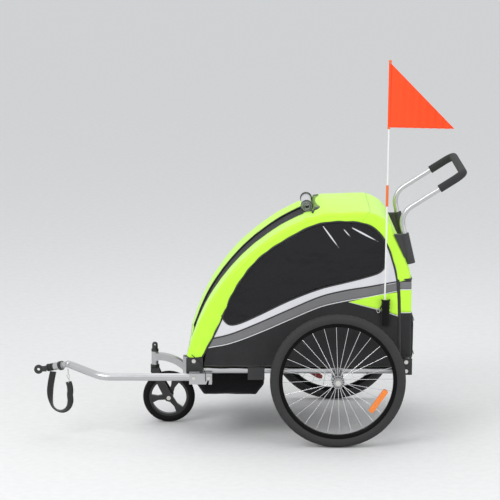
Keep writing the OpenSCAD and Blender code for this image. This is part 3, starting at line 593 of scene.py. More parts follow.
CANOPY_REAR_Z = 0.612
ridge = spline(cabin_outline(CANOPY_FRONT.z, CANOPY_REAR_Z), 200, fine=3)
PIPING = [(-0.500, 0.323), (-0.443, 0.432), (-0.380, 0.572), (-0.290, 0.688), (-0.160, 0.774), (-0.064, 0.815),
          (0.050, 0.822), (0.128, 0.802), (0.177, 0.747), (0.207, 0.664), (0.221, 0.600)]
SILL = [(-0.432, 0.478), (-0.413, 0.450), (-0.391, 0.441), (-0.354, 0.450), (-0.287, 0.480), (-0.176, 0.533),
        (-0.066, 0.575), (0.026, 0.598), (0.100, 0.617), (0.158, 0.638), (0.176, 0.672), (0.174, 0.740)]
STRIPE_TOP = [(-0.474, 0.388), (-0.391, 0.409), (-0.287, 0.451), (-0.176, 0.500), (-0.066, 0.546), (0.026, 0.569),
              (0.118, 0.584), (0.227, 0.604)]
STRIPE_FOOT = [(-0.483, 0.357), (-0.391, 0.376), (-0.280, 0.418), (-0.176, 0.463), (-0.066, 0.509), (0.026, 0.531),
               (0.118, 0.547), (0.228, 0.570)]
FOOT_Z = SIDE_LOW.z + 0.001
BRACKET_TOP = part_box("corner_brackets")[1].z + 0.002
PATCH_TOP, PATCH_FOOT = (0.041, 0.5275), (0.224, 0.478)

piping_line = spline(PIPING, 120)
window_top = [p for p in piping_line if p.x > -0.432 and p.y > 0.478 and (p.y > 0.742 or p.x < 0.1)]


def relief(x, z, seed):
    """How far the side fabric stands out of its plane: slack between the tubes, and shallow folds near its foot."""
    slack = 0.003 * noise.noise(Vector((x * 5, z * 5, seed)))
    low = max(0.0, min(1.0, (0.42 - z) / 0.12))
    folds = 0.0028 * low * math.sin(70 * x + 6 * noise.noise(Vector((x * 4, z * 3, seed + 5))))
    return slack + folds


def on_side(side, p, lift=0.0):
    return at(p[0], side * (side_y(p[1]) - 0.001 + relief(p[0], p[1], side * 3) + lift), p[1])


def side_zone(name, side, top, foot, look, rows=10, lift=0.0, count=90, replaced=(), thick=0.002):
    """Fabric between two curves on a cabin side."""
    upper, lower = spline(top, count) if len(top) < 60 else resample(top, count), spline(foot, count)
    lines = [[on_side(side, lerp(a, b, j / rows), lift) for a, b in zip(upper, lower)] for j in range(rows + 1)]
    if side > 0:
        lines.reverse()
    made = piece(name, grid_mesh(name, lines), FRAME, look, replaced, thick=thick, out=-1)
    return stretched(made)


def shifted(points, dz):
    return [(p[0], p[1] + dz) for p in points]


for side, hand in ((-1, "left"), (1, "right")):
    side_zone(f"{hand}_pale_band", side, SILL, [*STRIPE_TOP, (0.209, 0.672), (0.184, 0.742)], "pale")
    side_zone(f"{hand}_grey_stripe", side, STRIPE_TOP, STRIPE_FOOT, "grey", rows=5)
    side_zone(f"{hand}_lower_panel", side, STRIPE_FOOT, [(-0.496, FOOT_Z), (-0.15, FOOT_Z), (0.229, FOOT_Z)], "charcoal",
              rows=24, count=140, replaced=[f"{hand}_side_panel"])
    side_zone(f"{hand}_lime_patch", side, [PATCH_TOP, (0.13, 0.548), (0.224, 0.564)],
              [PATCH_TOP, (0.156, 0.499), PATCH_FOOT], "lime", lift=0.0012, count=30)
    window = side_zone(f"{hand}_window_sheet", side, window_top, SILL[:-1], "vinyl", rows=20, replaced=[f"{hand}_window"],
                       thick=0.0008)
    for name, line, radius, look, lift in (
            ("edge_piping", piping_line, 0.0042, "piping", 0.001),
            ("sill_piping", spline(SILL, 90), 0.0030, "piping", 0.001),
            ("stripe_tape", spline(STRIPE_TOP, 90), 0.0034, "piping", 0.0),
            ("stripe_piping", spline(shifted(STRIPE_FOOT, -0.001), 90), 0.0018, "white_piping", 0.0012),
            ("patch_piping", spline([PATCH_TOP, (0.156, 0.497), (0.224, 0.475)], 30), 0.0017, "white_piping", 0.0016),
            ("rear_piping", resample([(0.222, 0.610), (0.227, 0.53), (0.229, 0.45), (0.229, 0.300)], 40), 0.0065, "piping", 0.0),
            ("foot_binding", resample([(-0.492, FOOT_Z + 0.003), (0.211, FOOT_Z + 0.003)], 60), 0.003, "piping", 0.0)):
        cord_piece(f"{hand}_{name}", [on_side(side, p, lift) for p in line], radius, FRAME, look)
    # Pale tapered ridges on the window vinyl, raised 1.2 mm: their pale colour is a painted highlight, a streak of
    # reflected light.
    for number, (a, b, wide) in enumerate((((-0.055, 0.806), (0.004, 0.726), 0.0042), ((0.022, 0.794), (0.046, 0.767), 0.0030),
                                           ((0.052, 0.800), (0.148, 0.750), 0.0052)), 1):
        a, b = Vector(a), Vector(b)
        aside = Vector((a.y - b.y, b.x - a.x)).normalized()
        lines = [[on_side(side, lerp(a, b, k / 16) + aside * wide * j * math.sin(math.pi * min(1, k / 16 + 0.08)) ** 0.7,
                          0.0012 * (1 - j * j)) for k in range(17)] for j in (-1, -0.5, 0, 0.5, 1)]
        piece(f"{hand}_vinyl_crease_{number}", grid_mesh(f"{hand}_vinyl_crease_{number}", lines), FRAME, "pale_painted_highlight", thick=0.0006)
    stitches(f"{hand}_stripe_stitches", [on_side(side, p, 0.0014) for p in spline(shifted(STRIPE_FOOT, 0.005), 90)],
             FRAME, "white_piping")
    stitches(f"{hand}_foot_stitches", [on_side(side, (x, FOOT_Z + 0.011), 0.0008) for x in (-0.48, -0.3, -0.1, 0.1, 0.2)],
             FRAME, "piping")

# ---------------------------------------------------------------- canopy: one sheet from piping to piping over the roof


def crumple(p, y):
    """Wide slack waves and small creases in the canopy cloth."""
    return (0.0020 * noise.noise(Vector((p.x * 9, y * 7, p.y * 9)))
            + 0.0010 * noise.noise(Vector((p.x * 24, y * 16, p.y * 24))))


def canopy_rows():
    """Rows across the canopy, from the left piping over the ridge, the front or roof and the other ridge to the right piping."""
    count = len(ridge) - 1
    foot_row = next(i for i, p in enumerate(ridge) if p.y > MESH_FOOT_Z)
    top_row = next(i for i, p in enumerate(ridge) if p.x > MESH_TOP_X)
    rows = []
    inner = resample(piping_line, count)
    for i, p in enumerate(ridge):
        along = (ridge[min(i + 1, count)] - ridge[max(i - 1, 0)]).normalized()
        normal = Vector((-along.y, along.x))
        if i > top_row:
            p = p + normal * 0.009 * max(0.0, min(1.0, (0.10 - p.x) / 0.16)) * min(1.0, (i - top_row) / 6)
        edge = p - normal * CORNER_R
        half = side_y(edge.y) - CORNER_R
        left = []
        for k in range(7):
            q = lerp(inner[i], edge, k / 6)
            pucker = 0.0012 * math.sin(i * 0.55) * (1 - k / 6)
            left.append(at(q.x, -side_y(q.y) + 0.001 - 0.002 * math.sin(math.pi * k / 6) - pucker, q.y))
        for k in range(1, 5):
            a = math.pi / 2 * k / 5
            q = p + normal * (CORNER_R * math.sin(a) - CORNER_R)
            left.append(at(q.x, -half - CORNER_R * math.cos(a), q.y))
        flat = [-half + (half - MESH_HALF) * k / 6 for k in range(7)]
        slack = 0.0025 if i <= top_row else -0.017 * max(0.0, min(1.0, (0.12 - p.x) / 0.17))
        for y in flat:
            v = 1 - (y / half) ** 2
            ripple = crumple(p, y)
            q = p + normal * (ripple - slack * v)
            left.append(at(q.x, y, q.y))
        right = [Vector((q.x, -q.y, q.z)) for q in reversed(left)]
        middle = []
        for k in range(1, 6):
            y = -MESH_HALF + 2 * MESH_HALF * k / 6
            q = p - normal * slack * (1 - (y / half) ** 2) + normal * crumple(p, y)
            middle.append(at(q.x, y, q.y))
        rows.append([*left, *middle, *right])
    side_cells = 7 + 4 + 7 - 1
    return rows, lambda i, j: not (foot_row <= i < top_row and side_cells <= j < side_cells + 6), foot_row, top_row, side_cells


canopy, canopy_cell, foot_row, top_row, edge_column = canopy_rows()
cover = piece("canopy_sheet", grid_mesh("canopy_sheet", canopy, canopy_cell), FRAME, "lime", ["canopy_cover"], thick=0.0024)


# Black binding along the mesh strip's edges, and the sunk mesh itself.
for column, hand in ((edge_column, "left"), (edge_column + 6, "right")):
    cord_piece(f"{hand}_mesh_binding", [row[column] for row in canopy[foot_row:top_row + 1]], 0.0034, FRAME, "piping")
mesh_rows = []
for row, p in zip(canopy[foot_row - 2:top_row + 1], ridge[foot_row - 2:top_row + 1]):
    inward = (at(*((ARCH_C[0], 0, ARCH_C[1]))) - at(p.x, 0, p.y)).normalized()
    mesh_rows.append([at(p.x, y, p.y) + inward * (0.0058 + 0.003 * (1 - (y / 0.114) ** 2)) for y in
                      (-0.112, -0.08, -0.04, 0, 0.04, 0.08, 0.112)])
mesh_sheet = piece("front_mesh_sheet", grid_mesh("front_mesh_sheet", mesh_rows), FRAME, "mesh", ["front_mesh"], thick=0.001)
# Hem of the canopy at its foot, and rows of stitches beside the ridges.
cord_piece("canopy_front_binding", [p for p in canopy[0]], 0.003, FRAME, "piping")
for sign, hand in ((-1, "left"), (1, "right")):
    stitches(f"{hand}_ridge_stitches", [at(p.x * 1.0, sign * (side_y(p.y) - CORNER_R - 0.012), p.y + 0.0006) for p in ridge[top_row:150]],
             FRAME, "lime_dark")
    stitches(f"{hand}_edge_stitches", [on_side(sign, (q.x, q.y + 0.010), 0.0012) for q in piping_line[30:80]], FRAME, "lime_dark")


# ---------------------------------------------------------------- rear: one wrap round both back corners, in bands

REAR_WRAP_R, REAR_FOOT = 0.012, 0.324
REAR_X = BACK_X - 0.0005


def rear_point(t, z, lift=0.0):
    """A point on the rear wrap: t is 0 at the left piping, 1 at the right one."""
    half = side_y(z) - 0.001 + lift
    side_run, corner, back_run = REAR_X - REAR_WRAP_R - 0.229, REAR_WRAP_R * math.pi / 2, 2 * (half - REAR_WRAP_R)
    total = 2 * (side_run + corner) + back_run
    d, mirror = t * total, 1
    if d > total / 2:
        d, mirror = total - d, -1
    if d < side_run:
        x, y = 0.229 + d, -half
    elif d < side_run + corner:
        a = (d - side_run) / REAR_WRAP_R
        x = REAR_X - REAR_WRAP_R + (REAR_WRAP_R + lift) * math.sin(a)
        y = -half + REAR_WRAP_R - REAR_WRAP_R * math.cos(a)
    else:
        x, y = REAR_X + lift + 0.002 * noise.noise(Vector((d * 7, z * 6, 2))), -half + REAR_WRAP_R + d - side_run - corner
    return at(x, mirror * y, z)


for name, top, foot, look, rows in (("rear_black_tape", 0.612, 0.602, "piping", 1), ("rear_grey_stripe", 0.602, 0.5745, "grey", 4),
                                    ("rear_white_line", 0.5745, 0.5710, "white_piping", 1), ("rear_lime_band", 0.571, 0.489, "lime", 8),
                                    ("rear_white_foot_line", 0.489, 0.4865, "white_piping", 1),
                                    ("rear_lower_panel", 0.4865, REAR_FOOT, "charcoal", 12)):
    lines = [[rear_point(i / 160, lerp(top, foot, j / rows)) for i in range(161)] for j in range(rows + 1)]
    band = piece(name, grid_mesh(name, lines), FRAME, look, ["rear_panel"] if name == "rear_lime_band" else (), thick=0.002)
    stretched(band)
cord_piece("rear_foot_binding", [rear_point(i / 160, REAR_FOOT) for i in range(161)], 0.003, FRAME, "piping")
cord_piece("canopy_rear_binding", [rear_point(i / 160, 0.611, 0.001) for i in range(161)], 0.0032, FRAME, "piping")


# ---------------------------------------------------------------- lofted soft shapes


def rounded(points, cut, steps=4):
    """A closed outline with its corners rounded by quadratic curves."""
    p, made = [Vector(q) for q in points], []
    for a, b, c in zip([p[-1], *p[:-1]], p, [*p[1:], p[0]]):
        start = b + (a - b).normalized() * min(cut, (a - b).length * 0.45)
        end = b + (c - b).normalized() * min(cut, (c - b).length * 0.45)
        made += [start * (1 - t) ** 2 + b * 2 * t * (1 - t) + end * t * t for t in (i / steps for i in range(steps + 1))]
    return made


def loft(name, outline, half, edge, place, stations=40, around=96, wobble=0.0, seed=0.0, crown=0.0):
    """A closed soft form: an outline swept over +-half with rounded ends, wrinkled by wobble and swollen by crown."""
    ring = resample([*outline, outline[0]], around)[:-1]
    middle = sum(ring, Vector((0, 0))) / len(ring)
    spots = []
    for i in range(7):
        a = math.pi / 2 * i / 6
        spots.append((-half + edge - edge * math.cos(math.pi / 2 - a), edge * (1 - math.cos(math.pi / 2 - a))))
    spots = [(-half + edge * (1 - math.sin(math.pi / 2 * i / 6)), edge * (1 - math.cos(math.pi / 2 * i / 6))) for i in range(6, 0, -1)]
    inner = [(lerp(-half + edge, half - edge, i / stations), 0.0) for i in range(stations + 1)]
    ends = [(-w, inset) for w, inset in reversed(spots)]
    rows = []
    for w, inset in (*[(spots[0][0], spots[0][1] + k) for k in (1.0, 0.5, 0.2)], *spots, *inner, *ends,
                     *[(ends[-1][0], ends[-1][1] + k) for k in (0.2, 0.5, 1.0)]):
        swell = crown * (1 - (w / half) ** 2)
        row = []
        for q in ring:
            out = q - middle
            share = 0.002 if inset >= 1 else (1 - inset / 1.0) * 0.8 if inset > edge + 0.1 else 1 - inset / max(out.length, inset * 1.2)
            n = noise.noise(Vector((q.x * 13 + seed, w * 11, q.y * 13))) + 0.5 * noise.noise(Vector((q.x * 34, w * 30 + seed, q.y * 30)))
            p = middle + out * share * (1 + (swell + wobble * n) / max(out.length, 0.02))
            row.append(place(p, w))
        rows.append(row)
    return grid_mesh(name, rows, loop=True)


def along_y(p, w):
    return at(p.x, w, p.y)


bag = piece("rear_storage_bag", loft("rear_storage_bag", rounded([(0.238, 0.291), (0.268, 0.290), (0.281, 0.314), (0.283, 0.440),
            (0.278, 0.476), (0.240, 0.478)], 0.012), 0.265, 0.016, along_y, wobble=0.0016, seed=4, crown=0.001),
            FRAME, "black", ["rear_bag"])
for z, hand in ((0.452, "top"), (0.325, "foot")):
    cord_piece(f"rear_bag_{hand}_seam", [at(0.2838 + 0.0008 * math.sin(y * 20), y, z + 0.003 * math.cos(y * 9))
               for y in (i * 0.01 - 0.25 for i in range(51))], 0.0016, FRAME, "piping")

# Footwell: a tub of heavy cloth, with its rim under the floor.
tub = [(-0.270, 0.262), (-0.274, 0.198), (-0.302, 0.163), (-0.498, 0.163), (-0.523, 0.200), (-0.527, 0.262)]
tub_line = spline(resample(tub, 34), 70)
tub_middle = Vector((-0.398, 0.261))
tub_rows = []
TUB_HALF, TUB_EDGE = 0.2455, 0.022
for w, inset, share in (*[(-TUB_HALF, TUB_EDGE, k) for k in (0.02, 0.3, 0.6, 0.85)],
                        *[(-TUB_HALF + TUB_EDGE * (1 - math.cos(a)), TUB_EDGE * (1 - math.sin(a)), 1)
                          for a in (math.pi / 2 * i / 5 for i in range(6))],
                        *[(lerp(-TUB_HALF + TUB_EDGE, TUB_HALF - TUB_EDGE, i / 30), 0, 1) for i in range(1, 30)],
                        *[(TUB_HALF - TUB_EDGE * (1 - math.cos(a)), TUB_EDGE * (1 - math.sin(a)), 1)
                          for a in (math.pi / 2 * i / 5 for i in range(5, -1, -1))],
                        *[(TUB_HALF, TUB_EDGE, k) for k in (0.85, 0.6, 0.3, 0.02)]):
    row = []
    for q in tub_line:
        out = q - tub_middle
        size = share * (1 - inset / max(out.length, 0.05))
        dent = 0.0022 * noise.noise(Vector((q.x * 16, w * 12, q.y * 18)))
        row.append(at(tub_middle.x + out.x * size, w + dent * (0.5 if share < 1 else 0), min(0.2625, tub_middle.y + out.y * size + dent)))
    tub_rows.append(row)
piece("footwell_tub", grid_mesh("footwell_tub", tub_rows), FRAME, "black", ["footwell"], thick=0.002, out=0)
for side in (-1, 1):
    cord_piece(f"footwell_seam_{'right' if side > 0 else 'left'}",
               [at(q.x, side * (TUB_HALF - 0.006), q.y) for q in [Vector((tub_middle.x + (p - tub_middle).x * 0.93,
                tub_middle.y + (p - tub_middle).y * 0.93)) for p in tub_line[2:-2]]], 0.0022, FRAME, "piping")


def flat_cloth(name, x0, x1, y0, y1, z, look, replaced=(), sag=0.0):
    rows = []
    for i in range(25):
        x = lerp(x0, x1, i / 24)
        rows.append([at(x, lerp(y0, y1, j / 24), z - sag * math.sin(math.pi * j / 24) * math.sin(math.pi * i / 24)
                        + 0.0008 * noise.noise(Vector((x * 12, lerp(y0, y1, j / 24) * 12, 3)))) for j in range(25)])
    made = piece(name, grid_mesh(name, rows), FRAME, look, replaced, thick=0.002, out=0)
    return stretched(made)


flat_cloth("cabin_floor_cloth", -0.262, 0.240, -0.287, 0.287, 0.262, "black", ["floor_panel"], sag=0.0006)
for side in (-1, 1):
    flat_cloth(f"footwell_rim_{'right' if side > 0 else 'left'}", -0.510, -0.275, side * 0.246, side * 0.287, 0.262, "black")

# ---------------------------------------------------------------- seat: padded base and back, swollen by cloth simulation


def inflate(thing, voxel, pressure, cap, frames=20):
    """Remeshes a closed form, blows it up as cloth, and keeps every point within cap of where it was."""
    scene, moved = bpy.context.scene, thing.modifiers.new("remesh", "REMESH")
    moved.mode, moved.voxel_size = "VOXEL", voxel
    even = bpy.data.meshes.new_from_object(thing.evaluated_get(bpy.context.evaluated_depsgraph_get()))
    thing.modifiers.clear()
    thing.data = even
    start = [v.co.copy() for v in even.vertices]
    cloth = thing.modifiers.new("inflate", "CLOTH")
    cloth.settings.use_pressure, cloth.settings.uniform_pressure_force = True, pressure
    cloth.settings.effector_weights.gravity = 0
    cloth.settings.quality, cloth.settings.tension_stiffness = 6, 12
    cloth.point_cache.frame_start, cloth.point_cache.frame_end = 1, frames
    for step in range(1, frames + 1):
        scene.frame_set(step)
    blown = bpy.data.meshes.new_from_object(thing.evaluated_get(bpy.context.evaluated_depsgraph_get()))
    thing.modifiers.clear()
    thing.data = blown
    for v, was in zip(blown.vertices, start):
        gone = v.co - was
        if gone.length > cap:
            v.co = was + gone * (cap / gone.length)
    scene.frame_set(1)
    blown.shade_smooth()


def sew(thing, depth_at):
    """Presses seams into a swollen form along its normals."""
    mesh = thing.data
    moves = [(v, v.normal.copy(), depth_at(v.co)) for v in mesh.vertices]
    for v, normal, depth in moves:
        v.co -= normal * depth
    level = thing.modifiers.new("smooth", "SUBSURF")
    level.levels = level.render_levels = 1


SEAT_FOOT, SEAT_TOP = Vector((0.150, 0.342)), Vector((0.191, 0.700))
SEAT_ALONG = (SEAT_TOP - SEAT_FOOT).normalized()
SEAT_OUT = Vector((-SEAT_ALONG.y, SEAT_ALONG.x))


def on_seat(s, d, y):
    q = SEAT_FOOT + SEAT_ALONG * s + SEAT_OUT * d
    return at(q.x, y, q.y)


def seam(distance, width, depth):
    return depth * math.exp(-(distance / width) ** 2)


def back_seams(p):
    q = Vector((p.x - AXLE_X, p.z)) - SEAT_FOOT
    s = q.dot(SEAT_ALONG)
    cross = sum(seam(s - mark, 0.004, 0.006) for mark in (0.085, 0.155, 0.225, 0.295))
    rim = seam(abs(p.y) - 0.214, 0.004, 0.004)
    return cross + seam(p.y, 0.005, 0.008) + rim


def base_seams(p):
    cross = sum(seam(p.x - AXLE_X - mark, 0.004, 0.006) for mark in (-0.10, -0.03, 0.04, 0.11))
    return cross + seam(p.y, 0.005, 0.008) + seam(abs(p.y) - 0.24, 0.004, 0.004)


SWELL = 0.006
back_outline = [SEAT_FOOT + SEAT_ALONG * s - SEAT_OUT * d for s, d in ((0.012, 0.008), (0.352, 0.008), (0.352, 0.030), (0.012, 0.030))]
base_outline = [(-0.163, 0.271), (-0.172, 0.284), (-0.161, 0.328), (-0.148, 0.334), (0.118, 0.319), (0.138, 0.319), (0.143, 0.271)]
for name, outline, half, replaced, seams in (("seat_back_pad", back_outline, 0.228, "seat_back", back_seams),
                                             ("seat_base_pad", base_outline, 0.255, "seat_base", base_seams)):
    pad = piece(name, loft(name, rounded(outline, 0.012), half, 0.010, along_y, around=120, crown=0.001), FRAME, "seat", [replaced])
    inflate(pad, 0.006, 4, SWELL)
    if not pad.data.materials:
        pad.data.materials.append(M["seat"])
    sew(pad, seams)

# Harness: two five-strap sets, with shoulder pads and a buckle each.
for number, child in enumerate((-0.122, 0.122), 1):
    for side, hand in ((-1, "left"), (1, "right")):
        y = child + side * 0.042
        path = [on_seat(s, 0.0012 + 0.0006 * math.sin(s * 40), y + side * -0.010 * (1 - s / 0.31)) for s in
                (0.03 + 0.28 * i / 40 for i in range(41))]
        first = ["harness"] if number == 1 and side == -1 else ()
        piece(f"shoulder_strap_{number}_{hand}", ribbon_mesh(f"shoulder_strap_{number}_{hand}", path, 0.028, lambda i: (0, 1, 0)),
              FRAME, "webbing", first, thick=0.0018, out=0)
        pad_line = rounded([(0.192, 0.0032), (0.288, 0.0032), (0.285, 0.0122), (0.195, 0.0122)], 0.004)
        pad = piece(f"shoulder_pad_{number}_{hand}", loft(f"shoulder_pad_{number}_{hand}", pad_line, 0.021, 0.005,
                    lambda p, w, y=y: on_seat(p.x, p.y, y + w), stations=10, around=60, wobble=0.0004), FRAME, "black")
        lap = [on_seat(0.030 + 0.012 * t, 0.002 + 0.020 * math.sin(math.pi * t), child + side * lerp(0.10, 0.012, t))
               for t in (i / 16 for i in range(17))]
        piece(f"lap_strap_{number}_{hand}", ribbon_mesh(f"lap_strap_{number}_{hand}", lap, 0.024, lambda i: (0.1, 0, 1)),
              FRAME, "webbing", thick=0.0018, out=0)
    buckle = rounded([(0.022, 0.017), (0.062, 0.017), (0.058, 0.029), (0.026, 0.029)], 0.006)
    piece(f"harness_buckle_{number}", loft(f"harness_buckle_{number}", buckle, 0.019, 0.005,
          lambda p, w, child=child: on_seat(p.x, p.y, child + w), stations=8, around=48), FRAME, "moulding")

# ---------------------------------------------------------------- rolled rain cover, the canopy's top hem in painted shade, and its tabs

ROLL = box_middle("rain_cover_roll")
ROLL_LOW, ROLL_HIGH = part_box("rain_cover_roll")
ROLL_R, ROLL_HALF = (ROLL_HIGH.z - ROLL_LOW.z) / 2, (ROLL_HIGH.y - ROLL_LOW.y) / 2
roll_rows = []
for i in range(33):
    y = lerp(-ROLL_HALF, ROLL_HALF, i / 32)
    row = []
    for k in range(161):
        turn = k / 160 * 3.4
        r = lerp(0.28, 0.97, k / 160) * ROLL_R * (1 + 0.05 * noise.noise(Vector((turn * 3, y * 12, 1))))
        a = math.tau * turn + 0.9
        row.append(Vector((ROLL.x + r * math.cos(a), y * (1 - 0.02 * math.sin(turn * 5)), ROLL.z + r * math.sin(a))))
    roll_rows.append(row)
piece("rolled_rain_cover", grid_mesh("rolled_rain_cover", roll_rows), FRAME, "roll", ["rain_cover_roll"], thick=0.0012, out=0)
for y, hand in ((-0.100, "left"), (0.100, "right")):
    ring = [Vector((ROLL.x + (ROLL_R + 0.0012) * math.cos(a), y, ROLL.z + (ROLL_R + 0.0012) * math.sin(a)))
            for a in (math.tau * i / 40 for i in range(41))]
    piece(f"roll_strap_{hand}", ribbon_mesh(f"roll_strap_{hand}", ring, 0.012, lambda i: (0, 1, 0)), FRAME, "webbing",
          thick=0.0016, out=0)
for y, hand in ((-ROLL_HALF + 0.004, "left"), (ROLL_HALF - 0.004, "right")):
    ring = [Vector((ROLL.x + ROLL_R * 0.99 * math.cos(a), y, ROLL.z + ROLL_R * 0.99 * math.sin(a)))
            for a in (math.tau * i / 40 for i in range(41))]
    cord_piece(f"roll_binding_{hand}", ring, 0.0022, FRAME, "piping")

# The top hem behind the roll: a raised strip of lime cloth, dark green as painted shade.
hem_rows = []
for i in range(top_row - 1, top_row + 5):
    along = (ridge[i + 1] - ridge[i - 1]).normalized()
    normal = Vector((-along.y, along.x))
    lift = 0.0035 + (0.0165 if i > top_row else 0.006)
    q = ridge[i] + normal * lift
    hem_rows.append([at(q.x, y, q.y - 0.006 * (y / 0.30) ** 2) for y in (0.155 * (k / 8 - 1) for k in range(17))])
hem = piece("canopy_top_hem_painted_shade", grid_mesh("canopy_top_hem_painted_shade", hem_rows), FRAME, "lime_dark", thick=0.002)
stretched(hem)
for side, hand in ((-1, "left"), (1, "right")):
    tab = [Vector((p.x, side * (0.158 + 0.010 * k), p.z - 0.002 * k)) for k in (0, 1, 2) for p in (hem_rows[0][0],)]
    rows = [[Vector((row[0].x, side * y, row[0].z + 0.003 - 0.22 * (y - 0.150))) for y in (0.148, 0.156, 0.166, 0.176)] for row in hem_rows]
    piece(f"hem_tab_{hand}", grid_mesh(f"hem_tab_{hand}", rows), FRAME, "webbing", thick=0.002)

# ---------------------------------------------------------------- flag, its sleeve and the pocket for the pole

FLAG_LOW, FLAG_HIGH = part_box("flag")
POLE_LOW, POLE_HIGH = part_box("flag_pole")
POLE_R = (POLE_HIGH.y - POLE_LOW.y) / 2


def pole_x(z):
    """The leaning flag pole's middle at height z."""
    t = (z - POLE_LOW.z) / (POLE_HIGH.z - POLE_LOW.z)
    return lerp(POLE_LOW.x + POLE_R, POLE_HIGH.x - POLE_R, t)


flag_top = Vector((pole_x(FLAG_HIGH.z), FLAG_HIGH.z))
flag_tip = Vector((FLAG_HIGH.x, FLAG_LOW.z + 0.001))
flag_foot = Vector((pole_x(FLAG_LOW.z + 0.006), FLAG_LOW.z + 0.006))
flag_y = (FLAG_LOW.y + FLAG_HIGH.y) / 2


def flag_wave(x, z):
    u = (x - FLAG_LOW.x) / (FLAG_HIGH.x - FLAG_LOW.x)
    return 0.0055 * max(u, 0.0) ** 0.4 * math.sin(52 * u - 9 * z) + 0.002 * u * noise.noise(Vector((x * 16, z * 6, 8)))


flag_rows = []
for i in range(49):
    v = max(0.012, i / 48)
    left, right = lerp(flag_top, flag_foot, v), lerp(flag_top, flag_tip, v)
    line = [lerp(left, right, j / 48) for j in range(49)]
    flag_rows.append([Vector((q.x, flag_y + flag_wave(q.x, q.y), q.y)) for q in line])
flag = piece("pennant", grid_mesh("pennant", flag_rows), "flag_assembly", "flag", ["flag"], thick=0.0012, out=0)
for name, line in (("pennant_foot_hem", flag_rows[-1]), ("pennant_top_hem", [row[-1] for row in flag_rows])):
    cord_piece(name, line, 0.0014, "flag_assembly", "flag")
sleeve = [Vector((lerp(flag_top.x, flag_foot.x, t), flag_y, lerp(flag_top.y, flag_foot.y, t))) for t in
          (i / 20 for i in range(21))]
cord_piece("pennant_sleeve", sleeve, 0.0048, "flag_assembly", "flag")

POCKET_LOW, POCKET_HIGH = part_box("flag_pocket")
pocket_rows = []
for i in range(25):
    z = lerp(POCKET_LOW.z, POCKET_HIGH.z, i / 24)
    pinch = 1 - 0.10 * math.sin(math.pi * i / 24) + 0.05 * math.sin(i * 1.7)
    middle_x, half_x = (POCKET_LOW.x + POCKET_HIGH.x) / 2, (POCKET_HIGH.x - POCKET_LOW.x) / 2 * pinch
    root_y = -side_y(z)
    pocket_rows.append([Vector((middle_x - half_x * math.cos(math.pi * k / 16), root_y + (POCKET_LOW.y - root_y)
                                * math.sin(math.pi * k / 16) ** 0.6, z)) for k in range(17)])
piece("flag_pole_pocket", grid_mesh("flag_pole_pocket", pocket_rows), FRAME, "black", ["flag_pocket"], thick=0.0016, out=0)
pull = [Vector((POCKET_LOW.x - 0.012 + 0.006 * math.cos(a), POCKET_LOW.y + 0.012, POCKET_LOW.z + 0.052 + 0.008 * math.sin(a)))
        for a in (math.tau * i / 24 for i in range(25))]
cord_piece("pocket_ring", pull, 0.0014, FRAME, "bolt")
cord_piece("pocket_loop", [Vector((POCKET_LOW.x - 0.006, POCKET_LOW.y + 0.012, POCKET_LOW.z + 0.058)),
                           Vector((POCKET_LOW.x + 0.004, POCKET_LOW.y + 0.008, POCKET_LOW.z + 0.078))], 0.003, FRAME, "piping")

# ---------------------------------------------------------------- tyres with tread

TYRE_LOW, TYRE_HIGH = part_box("left_tyre")
WHEEL_R, TYRE_R = (TYRE_HIGH.z - TYRE_LOW.z) / 2, (TYRE_HIGH.y - TYRE_LOW.y) / 2
for hand in ("left", "right"):
    centre = box_middle(f"{hand}_tyre")
    rows, around, section = [], 360, 40
    for i in range(around):
        turn = math.tau * i / around
        row = []
        for j in range(section):
            a = math.tau * j / section
            outer = math.cos(a)
            r = TYRE_R - 0.0018
            block = 0.0018 if outer > 0.25 and (i // 3 + (j // 3)) % 2 == 0 else 0.0
            rib = 0.0007 if -0.1 < outer <= 0.45 and i % 4 < 2 else 0.0
            reach = WHEEL_R - TYRE_R + (r + block + rib) * outer
            if outer < -0.85:
                reach += (-0.85 - outer) * 0.02
            row.append(centre + Vector((reach * math.cos(turn), (r + block * 0.4 + rib) * math.sin(a), reach * math.sin(turn))))
        rows.append(row)
    rows.append(rows[0])
    mesh = grid_mesh(f"{hand}_tyre_tread", rows, loop=True)
    piece(f"{hand}_tyre_tread", mesh, f"{hand}_wheel", "tyre", [f"{hand}_tyre"])

# ---------------------------------------------------------------- reflectors and the spoke heads on the hubs

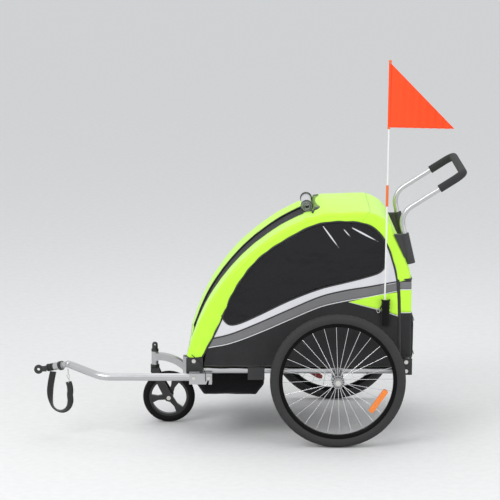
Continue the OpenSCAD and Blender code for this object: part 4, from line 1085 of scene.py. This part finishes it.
for hand, outward in (("left", -1), ("right", 1)):
    hub_middle, lens = box_middle(f"{hand}_tyre"), box_middle(f"{hand}_reflector")
    lens_low, lens_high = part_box(f"{hand}_reflector")
    radial = Vector((lens.x - hub_middle.x, lens.z - hub_middle.z)).normalized()
    tilt = math.radians(-9 if hand == "left" else 0)
    along = Vector((-radial.y * math.cos(tilt) - radial.x * math.sin(tilt), radial.x * math.cos(tilt) - radial.y * math.sin(tilt)))
    aside = Vector((along.y, -along.x))
    outline = rounded([(-0.051, -0.0105), (0.051, -0.0105), (0.051, 0.0105), (-0.051, 0.0105)], 0.009)
    # The back piece behind each lens is amber darkened to dark red: painted shade.
    for part, look, y0, half in (("lens", "amber", 0.0018, 0.0030), ("back", "reflector_back", -0.0028, 0.0012)):
        middle = Vector((lens.x, lens.y + outward * y0, lens.z))

        def on_lens(p, w, middle=middle, along=along, aside=aside):
            q = along * p.x + aside * p.y
            return Vector((middle.x + q.x, middle.y + w, middle.z + q.y))

        piece(f"{hand}_reflector_{part}", loft(f"{hand}_reflector_{part}", outline, half, min(half * 0.9, 0.002), on_lens,
              stations=4, around=64), f"{hand}_wheel", look, [f"{hand}_reflector"] if part == "lens" else ())
    face_y = hub_middle.y + outward * 0.0218
    heads = [Vector((hub_middle.x + 0.0195 * math.cos(a), face_y, hub_middle.z + 0.0195 * math.sin(a)))
             for a in (math.tau * i / 16 for i in range(16))]
    verts, faces = [], []
    for head in heads:
        first = len(verts)
        for ring_r, lift in ((0.0024, 0.0), (0.0018, 0.0012)):
            verts += [tuple(head + Vector((ring_r * math.cos(b), outward * lift, ring_r * math.sin(b))))
                      for b in (math.tau * k / 8 for k in range(8))]
        faces += [(first + k, first + (k + 1) % 8, first + 8 + (k + 1) % 8, first + 8 + k) for k in range(8)]
        faces.append(tuple(first + 8 + k for k in range(8)))
    heads_mesh = bpy.data.meshes.new(f"{hand}_spoke_heads")
    heads_mesh.from_pydata(verts, [], faces)
    piece(f"{hand}_spoke_heads", heads_mesh, f"{hand}_wheel", "rim", smooth=False)
